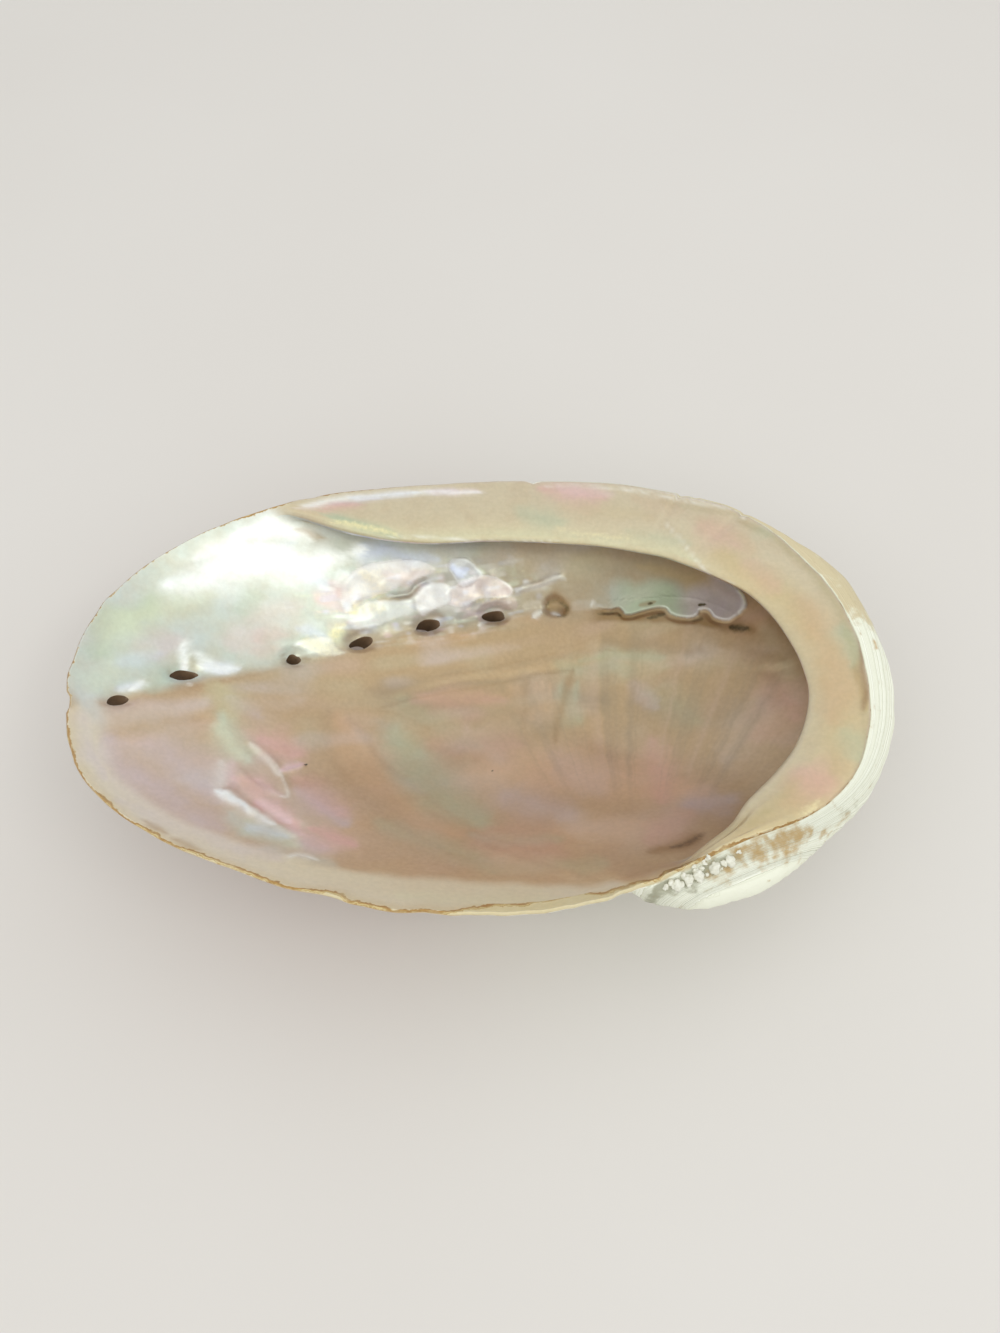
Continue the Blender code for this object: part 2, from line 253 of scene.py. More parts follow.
def within(x, y, middle_x, middle_y, long, short, turn):
    """Distance from the middle of an ellipse, 1 on its edge."""
    c, s = math.cos(math.radians(turn)), math.sin(math.radians(turn))
    u = ((x - middle_x) * c + (y - middle_y) * s) / long
    v = ((y - middle_y) * c - (x - middle_x) * s) / short
    return np.hypot(u, v)


def inward(outline, x, y):
    """Distance in from a closed smooth outline, negative outside it, for places near it."""
    ring = curve(tuple(outline) + (outline[0],), 90)
    away = np.full(np.shape(x), -9.0)
    low, high = ring.min(axis=0) - 2, ring.max(axis=0) + 2
    near = (x > low[0]) & (x < high[0]) & (y > low[1]) & (y < high[1])
    px, py = x[near][:, None], y[near][:, None]
    gap = np.hypot(px - ring[:, 0], py - ring[:, 1]).min(axis=1)
    ax, ay, bx, by = ring[:-1, 0], ring[:-1, 1], ring[1:, 0], ring[1:, 1]
    rise = np.where(by == ay, 1e-9, by - ay)
    crossed = ((ay > py) != (by > py)) & (px < ax + (bx - ax) * (py - ay) / rise)
    away[near] = np.where(crossed.sum(axis=1) % 2, gap, -gap)
    return away


KEEL_PATH = curve(KEEL, 240)


def opening_height(x, y):
    """Height of the plane of the lip."""
    return OPENING_HEIGHT - RISE_LEFT * x - RISE_NEAR * y


def keel_near(x, y):
    """Squared distance from the keel, depth of its groove there, and how sharply it dips."""
    spots = np.stack([np.ravel(x), np.ravel(y)], 1)
    gap = np.linalg.norm(spots[:, None, :] - KEEL_PATH[None, :, :2], axis=2)
    away = gap.min(axis=1) ** 2
    dip = np.exp(-(np.sqrt(away + CREASE_SOFT**2) - CREASE_SOFT) / KEEL_WIDTH)
    return away, KEEL_PATH[gap.argmin(axis=1), 2], dip


def keel_depth(x, y):
    """Depth of the groove that the keel makes in the bowl, creased along its middle."""
    away, depth, dip = keel_near(x, y)
    return (depth * dip).reshape(np.shape(x))


def keel_fill(x, y):
    """Nacre that rounds out the crease of that groove."""
    away, depth, dip = keel_near(x, y)
    fill = depth * (dip - np.exp(-np.sqrt(away + FILL_SOFT**2) / KEEL_WIDTH))
    return fill.reshape(np.shape(x))


# Small breaks in the lip: angle, half width in degrees, depth
NOTCHES = ((98, 1.6, 0.5), (58.5, 1.1, 0.7), (56, 0.8, 0.4), (44, 1.2, 0.4), (-172, 1.5, 0.6))


def chips(degrees):
    """How far the worn lip stands back from its full outline."""
    ragged = 0.35 + 0.65 * smooth(-60, -80, degrees) + 0.65 * smooth(135, 150, degrees)
    small = 0.20 * (1 + ripple(degrees, 170, 3)) + 0.15 * (1 + ripple(degrees, 83, 4))
    broken = 0.8 * np.clip(ripple(degrees, 61, 5) - 0.35, 0, 1) * smooth(-75, -100, degrees)
    back = ragged * small + broken
    for middle, half, depth in NOTCHES:
        back = back + depth * smooth(half, half * 0.4, abs((degrees - middle + 180) % 360 - 180))
    return back


class Section:
    """Radii and heights of the shell at each angle."""

    def __init__(self, degrees):
        self.cos = np.cos(np.radians(degrees))
        self.sin = np.sin(np.radians(degrees))
        self.rim = around(RIM, degrees)
        self.shelf = np.clip(around(UNDERCUT, degrees), 0, 1)
        self.hook = smooth(0.3, 0.9, self.shelf)
        self.back = chips(degrees)
        self.edge = self.rim - around(LEDGE, degrees) - 0.8 * self.back * (1 - self.shelf)
        self.outer = self.rim + around(BULGE, degrees)
        self.bulging = smooth(-5.0, 1.0, self.outer - self.rim)
        self.rim_z = opening_height(*self.place(self.rim))
        self.edge_z = opening_height(*self.place(self.edge)) - part_way(*EDGE_DROP, self.shelf)
        self.reach = self.rim + around([(a, b) for a, b, c in WALL], degrees)
        self.height = self.rim_z - around([(a, c) for a, b, c in WALL], degrees)
        self.wall = part_way(self.rim - PLAIN_LIP, self.reach, smooth(0.0, 0.6, self.shelf))
        self.wall_z = self.bowl(self.wall)

    def place(self, radius):
        """x and y at that radius."""
        return CENTRE_X + radius * self.cos, CENTRE_Y + radius * self.sin

    def bowl(self, radius):
        """Height of the inside of the bowl."""
        s = radius / self.reach
        rise = s * s * (1 + BOWL_SHAPE) / (1 + BOWL_SHAPE * s)
        height = part_way(BOWL_FLOOR, self.height, rise) - keel_depth(*self.place(radius))
        room = opening_height(*self.place(radius)) - 1.5 - height
        return height + room - (room + np.sqrt(room * room + 0.7)) / 2

    def under(self, radius):
        """Height of the outside below the bowl."""
        slope = self.bowl(radius + 0.5) - self.bowl(radius - 0.5)
        wall = part_way(WALL_CENTRE, WALL_LIP, np.clip(radius / self.rim, 0, 1) ** 2)
        height = self.bowl(radius) - wall * np.sqrt(1 + slope * slope)
        x, y = self.place(radius)
        near = np.hypot(x - SPIRE[0], y - SPIRE[1]) / SPIRE[2]
        return height - SPIRE[3] * np.exp(-near * near)


def through(knots, steps):
    """Rows of points on smooth curves through the knots; `steps` rows after each inner knot."""
    p = np.array(knots)
    gap = np.maximum(np.linalg.norm(np.diff(p, axis=0), axis=2, keepdims=True), 1e-6)
    pace = np.diff(p, axis=0) / gap
    lean = (pace[:-1] * gap[1:] + pace[1:] * gap[:-1]) / (gap[:-1] + gap[1:])
    rows = []
    for i, count in enumerate(steps, start=1):
        for n in range(1, count + 1):
            t = n / count
            rows.append(between(p[i], p[i + 1], lean[i - 1] * gap[i], lean[i] * gap[i], t))
    return rows


BOWL, HOLLOW, LEDGE_TOP, LIP, OUTSIDE = range(5)

# Rings after each knot of a section from the end of the bowl on, zone by zone
KNOT_RINGS = {HOLLOW: (6, 6, 6, 4, 3), LEDGE_TOP: (3, 5, 5, 7), LIP: (3,), OUTSIDE: (4, 4, 4)}
# Rings that are bent softly on each side of the bowl's end, and how many times over
BEND_BEFORE, BEND_AFTER, BEND_ROUNDS = 16, 12, 50


def shell_rows(degrees):
    """Radius and height along every section, from the bowl round to the crown, and zones."""
    s = Section(degrees)
    rows = []
    for k in range(1, BOWL_RINGS + 1):
        radius = s.wall * (k / BOWL_RINGS) ** RING_PACE
        rows.append((radius, s.bowl(radius)))
    zones = [BOWL] * BOWL_RINGS

    nose_r = s.edge + part_way(-0.9, 0.3, s.shelf)
    nose_z = s.edge_z - part_way(1.2, 1.7, s.shelf)
    room = np.clip((s.rim_z - s.wall_z - 2) / 6, 0, 1) * s.shelf**2
    lip_r, lip_z = s.rim - s.back, s.rim_z - 0.5 * s.back
    # The hollow under the ledge, its rounded inner edge, its top and the lip
    knots = [(s.wall * 0.97, s.bowl(s.wall * 0.97)), (s.wall, s.wall_z)]
    for t, lift in ((0.2, 2.6), (0.5, 2.2), (0.78, 0.9)):
        knots.append((part_way(s.wall, nose_r, t), part_way(s.wall_z, nose_z, t) + lift * room))
    knots += [(nose_r, nose_z), (s.edge - 0.35, s.edge_z - 0.8), (s.edge + 0.35, s.edge_z)]
    for t, lift in ((0.3, 0.5), (0.65, 0.4)):
        knots.append((part_way(s.edge, lip_r, t), part_way(s.edge_z, lip_z, t) + lift * s.shelf))
    knots += [(lip_r - LIP_ROUND, lip_z), (lip_r, lip_z - 0.4)]
    flank_r = s.rim - BULGE_DROP
    flank_z = s.under(flank_r)
    for t in (0.3, 0.65, 1.0):
        turn = t * math.pi / 2
        bulge_r = part_way(lip_r, s.outer, math.sin(turn))
        bulge_z = lip_z - 0.4 - BULGE_DROP * (1 - math.cos(turn))
        plain_r = part_way(lip_r, flank_r, t)
        plain_z = part_way(lip_z - 0.9, flank_z, t)
        knots.append((part_way(plain_r, bulge_r, s.bulging), part_way(plain_z, bulge_z, s.bulging)))

    top_r, top_z = knots[-1]
    low_r = s.rim * FLANK_START
    low_z = s.under(low_r)
    reach = 0.36 * np.hypot(top_r - low_r, top_z - low_z)
    low_lean = np.arctan(s.under(low_r + 0.5) - s.under(low_r - 0.5))
    top_lean = np.arctan2(s.rim_z - 0.9 - flank_z, BULGE_DROP)
    top_lean = part_way(top_lean, BULGE_LEAN, s.bulging)
    a_r, a_z = low_r + reach * np.cos(low_lean), low_z + reach * np.sin(low_lean)
    b_r, b_z = top_r - reach * np.cos(top_lean), top_z - reach * np.sin(top_lean)
    flank = []
    for k in range(FLANK_RINGS, -1, -1):
        t = k / FLANK_RINGS
        u = 1 - t
        radius = u**3 * low_r + 3 * u * u * t * a_r + 3 * u * t * t * b_r + t**3 * top_r
        height = u**3 * low_z + 3 * u * u * t * a_z + 3 * u * t * t * b_z + t**3 * top_z
        flank.append((radius, height))
    knots.append(flank[3])
    turned = through(knots, sum(KNOT_RINGS.values(), ()))
    # Where there is no ledge the bowl runs straight on to the lip
    span = lip_r - LIP_ROUND - s.wall
    rise = span * (s.bowl(s.wall + 0.3) - s.bowl(s.wall - 0.3)) / 0.6
    to_lip = sum(KNOT_RINGS[HOLLOW] + KNOT_RINGS[LEDGE_TOP])
    for k in range(to_lip):
        t = (k + 1) / to_lip
        plain_z = s.wall_z + rise * t + (lip_z - s.wall_z - rise) * t * t
        turned[k] = (part_way(s.wall + span * t, turned[k][0], s.hook),
                     part_way(plain_z, turned[k][1], s.hook))
    rows += turned + flank[1:]
    for zone, rings in KNOT_RINGS.items():
        zones += [zone] * sum(rings)
    for k in range(UNDER_RINGS - 1, -1, -1):
        radius = part_way(WORN_RADIUS, low_r, k / UNDER_RINGS)
        height = s.under(radius) if k else np.zeros(len(degrees))
        rows.append((radius, np.maximum(height, 0.0)))
    zones += [OUTSIDE] * (FLANK_RINGS + UNDER_RINGS)
    radius = np.array([row[0] for row in rows])
    height = np.array([row[1] for row in rows])
    # The wall bends softly into the hollow behind the ledge
    bend = slice(BOWL_RINGS - BEND_BEFORE, BOWL_RINGS + BEND_AFTER)
    share = 0.5 * np.sin(np.linspace(0, math.pi, BEND_BEFORE + BEND_AFTER))[:, None] * s.hook
    for _ in range(BEND_ROUNDS):
        for row in (radius, height):
            row[bend] += share * ((row[bend.start - 1:bend.stop - 1]
                                   + row[bend.start + 1:bend.stop + 1]) / 2 - row[bend])
    return s, radius, height, np.array(zones)


def even_angles(count):
    """Angles that give faces of about the same width all round."""
    fine = np.linspace(-180, 180, 4 * 360 + 1)
    reach = np.cumsum(around(RIM, fine) ** 0.6)
    reach = (reach - reach[0]) / (reach[-1] - reach[0])
    return np.interp(np.arange(count) / count, reach, fine)


# Relief of the bowl, in mm

# Old attachment scar and the low steps round it, drawn towards the lip side
SCAR = (
    ((-32.7, 2.5), (-30.9, -2.7), (-27.9, -6.3), (-23.3, -12.6), (-16.4, -18.4), (-9.1, -24.7),
     (-2.4, -30.2), (3.9, -33.1), (9.3, -35.1), (19.8, -34.9)),
    ((-37.3, -7.1), (-32.0, -15.2), (-23.9, -24.5), (-14.3, -32.3), (-4.6, -37.6), (4.6, -40.2)),
)

# Narrow ridges and grooves: points, height, half width
LINES = (
    (((5.6, 15.0), (12.0, 17.2), (17.8, 18.3), (28.1, 19.1), (37.5, 17.6), (43.6, 16.7),
      (46.1, 17.4)), -0.06, 0.6),
    (((-24.9, 26.9), (-19.7, 28.2), (-18.0, 30.0), (-14.4, 31.9)), -0.5, 0.5),
    (((3.7, 31.3), (7.4, 32.5), (11.0, 33.6), (14.1, 34.8), (16.0, 34.6)), 0.3, 0.6),
    (((-25.8, 3.4), (-19.8, 7.2), (-8.8, 11.8), (2.1, 13.6), (10.2, 15.4), (17.6, 16.7),
      (28.7, 18.4)), 0.15, 0.8),
    (((-27.5, 0.6), (-19.8, 5.2), (-8.8, 9.8), (2.1, 11.6), (10.2, 13.4), (17.6, 14.7),
      (24.7, 15.4)), -0.17, 0.7),
    (((-60.0, -3.4), (-57.2, -6.8), (-54.5, -9.1), (-51.0, -13.7), (-48.3, -16.9)), 0.30, 1.3),
    (((-50.7, -18.2), (-47.1, -21.6), (-41.0, -23.9)), 0.2, 0.8),
    (((-51.5, -10.8), (-48.3, -12.6), (-44.1, -16.1), (-42.1, -19.6), (-40.7, -23.4)), 0.2, 0.8),
    (((-42.8, -17.9), (-40.6, -16.7), (-38.6, -15.0)), 0.25, 0.5),
    (((-36.6, -39.9), (-34.5, -39.4), (-32.0, -39.6)), 0.30, 0.5),
    (((-52.1, -23.6), (-49.6, -26.3), (-46.8, -27.9), (-43.7, -29.2)), 0.55, 1.4),
    (((-50.8, -19.7), (-48.2, -23.9), (-44.5, -26.9), (-39.6, -30.0), (-34.5, -32.6)), -0.45, 1.2),
)

# Crumpled plates of nacre behind the holes: outline, height, how much the middle domes
PLATES = (
    (((-18.3, 25.6), (-18.0, 27.9), (-15.6, 30.3), (-13.2, 31.1), (-10.8, 30.8), (-10.6, 27.8),
      (-13.3, 26.2), (-16.5, 24.3)), 0.65, 0.35),
    (((-11.1, 34.9), (-9.6, 36.3), (-6.6, 36.7), (-4.2, 35.2), (-3.0, 33.8), (-6.1, 31.4),
      (-8.5, 31.1), (-10.2, 33.4)), 0.75, 0.45),
    (((-12.1, 29.2), (-9.7, 31.0), (-3.6, 33.7), (0.0, 33.6), (3.1, 32.3), (3.7, 30.8),
      (1.8, 29.7), (-3.0, 29.2), (-7.3, 27.2), (-10.9, 27.3)), 0.50, 0.2),
    (((-34.5, 27.4), (-30.6, 31.7), (-24.9, 33.6), (-17.9, 35.0), (-14.2, 34.1), (-14.2, 32.6),
      (-18.6, 30.9), (-24.9, 27.9), (-31.2, 24.9), (-33.4, 22.4)), 0.40, 0.3),
    (((-31.8, 21.7), (-28.9, 25.3), (-22.1, 26.7), (-18.8, 27.2), (-18.9, 24.8), (-22.1, 23.3),
      (-26.1, 21.1), (-31.2, 19.2)), 0.45, 0.3),
    (((-43.6, 13.9), (-41.6, 15.5), (-36.7, 16.8), (-35.3, 15.0), (-33.3, 13.9), (-37.7, 12.4),
      (-41.0, 12.8)), 0.45, 0.5),
    (((-7.9, 24.6), (-7.3, 25.9), (-4.9, 27.4), (-2.4, 28.7), (1.2, 30.1), (4.3, 29.9),
      (4.9, 28.3), (3.1, 27.6), (0.0, 28.0), (-4.0, 26.4)), 0.40, 0.3),
    (((6.6, 27.4), (6.0, 28.6), (8.0, 29.8), (10.8, 29.6), (11.2, 28.2), (9.0, 27.2)), 0.3, 0.5),
    (((17.4, 28.0), (17.0, 29.6), (19.6, 30.6), (23.4, 30.2), (25.2, 28.6), (22.0, 27.9)), 0.3, 0.5),
)

# Coats on each of those plates, with their strengths; their white coat is a painted highlight
TINTS = (
    (("white_and_highlight", 0.7), ("petal", 0.3)), (("azure", 0.35), ("white_and_highlight", 0.15)),
    (("petal", 0.5), ("white_and_highlight", 0.2)), (("white_and_highlight", 0.4), ("petal", 0.3)),
    (("white_and_highlight", 0.45), ("straw", 0.15)), (("white_and_highlight", 0.35), ("straw", 0.5)),
    (("petal", 0.25),), (("white_and_highlight", 0.12),), (("white_and_highlight", 0.12),),
)

# Ragged edge of the nacre sheet that has closed the oldest holes, and how high it stands
SHEET = (
    (20.0, 28.7), (23.2, 28.5), (26.7, 28.1), (28.6, 28.4), (29.6, 27.6), (30.2, 26.8),
    (31.8, 26.8), (34.1, 27.4), (37.3, 27.9), (39.5, 27.6), (40.4, 26.3), (42.2, 25.4),
    (44.7, 24.8), (46.4, 25.2), (47.2, 26.3), (49.0, 26.0), (50.3, 24.0), (53.1, 23.0),
    (55.6, 24.3), (57.1, 25.6), (57.1, 27.1), (56.3, 29.2), (55.0, 31.0),
)
SHEET_STEP = 0.5

# Lower side of the slot under the sheet, painted brown as the shadow that the sheet casts
SLOT = ((18, 26.4), (22, 25.4), (29, 25.2), (34, 24.6), (39, 24.6), (47, 22.9), (52, 20.8), (57, 19.6))


def slot_under_sheet(x, y, away, share):
    """How deep each place lies in the slot, 1 at the most; it shapes the groove and its painted shadow."""
    low = np.interp(x, [spot[0] for spot in SLOT], [spot[1] for spot in SLOT])
    low = low + 0.5 * cloud(x, y, 2.5, 37)
    gap = smooth(-0.8, 0.6, y - low) * smooth(0.15, -0.35, away)
    gap = gap * np.clip(0.9 + 0.5 * cloud(x, y, 4.5, 39), 0, 1)
    return gap * smooth(0.0, 0.08, share) * smooth(1.0, 0.9, share) * smooth(57.5, 55.0, x)


def bowl_relief(x, y):
    """Low relief on the inside of the bowl."""
    rise = 0.05 * cloud(x, y, 9, 11) + 0.03 * cloud(x, y, 3.5, 12)
    wild = 0.35 * cloud(x, y, 2.4, 13) + 0.45 * cloud(x, y, 5.0, 14)
    rise += 0.55 * wild * smooth(1.25, 0.5, within(x, y, -16, 27, 26, 8, 12))
    rise += 0.30 * wild * smooth(1.2, 0.4, within(x, y, -46, -18, 12, 10, -45))
    for points, height, half in LINES:
        away, share = beside(curve(points, 70), x, y)
        ends = smooth(0, 0.15, share) * smooth(1, 0.85, share)
        rise += height * np.exp(-((away / half) ** 2)) * ends
    for number, points in enumerate(SCAR):
        away, share = beside(curve(points, 110), x, y)
        ends = smooth(0, 0.2, share) * smooth(1, 0.8, share)
        rise += ends * (0.16 - 0.05 * number) * smooth(-0.8, 0.8, -away) * np.exp(-abs(away) / 9)
    for outline, height, dome in PLATES:
        deep = inward(outline, x, y)
        rise += 0.28 * height * (smooth(-0.4, 0.6, deep) * (1 - dome) + dome * smooth(-0.2, 2.2, deep))
    for cx, cy, length, width, turn in HOLES + (CLOSED_HOLE,):
        mouth = within(x, y, cx, cy + 0.2, length * 0.5 + 1.1, width * 0.5 + 1.1, turn)
        rise -= 0.5 * smooth(1.2, 0.5, mouth)
    away, share = beside(curve(SHEET, 260), x, y)
    ends = smooth(0.0, 0.12, share)
    lift = SHEET_STEP * smooth(-0.25, 0.35, away) * np.exp(-np.clip(away, 0, 99) / 10.0)
    filled = (x > 15) & (y > 10)
    rise[filled] += smooth(17, 25, x[filled]) * keel_fill(x[filled], y[filled])
    rise += ends * (lift - 0.25 * slot_under_sheet(x, y, away, share) * smooth(-1.6, -0.6, away))
    return rise


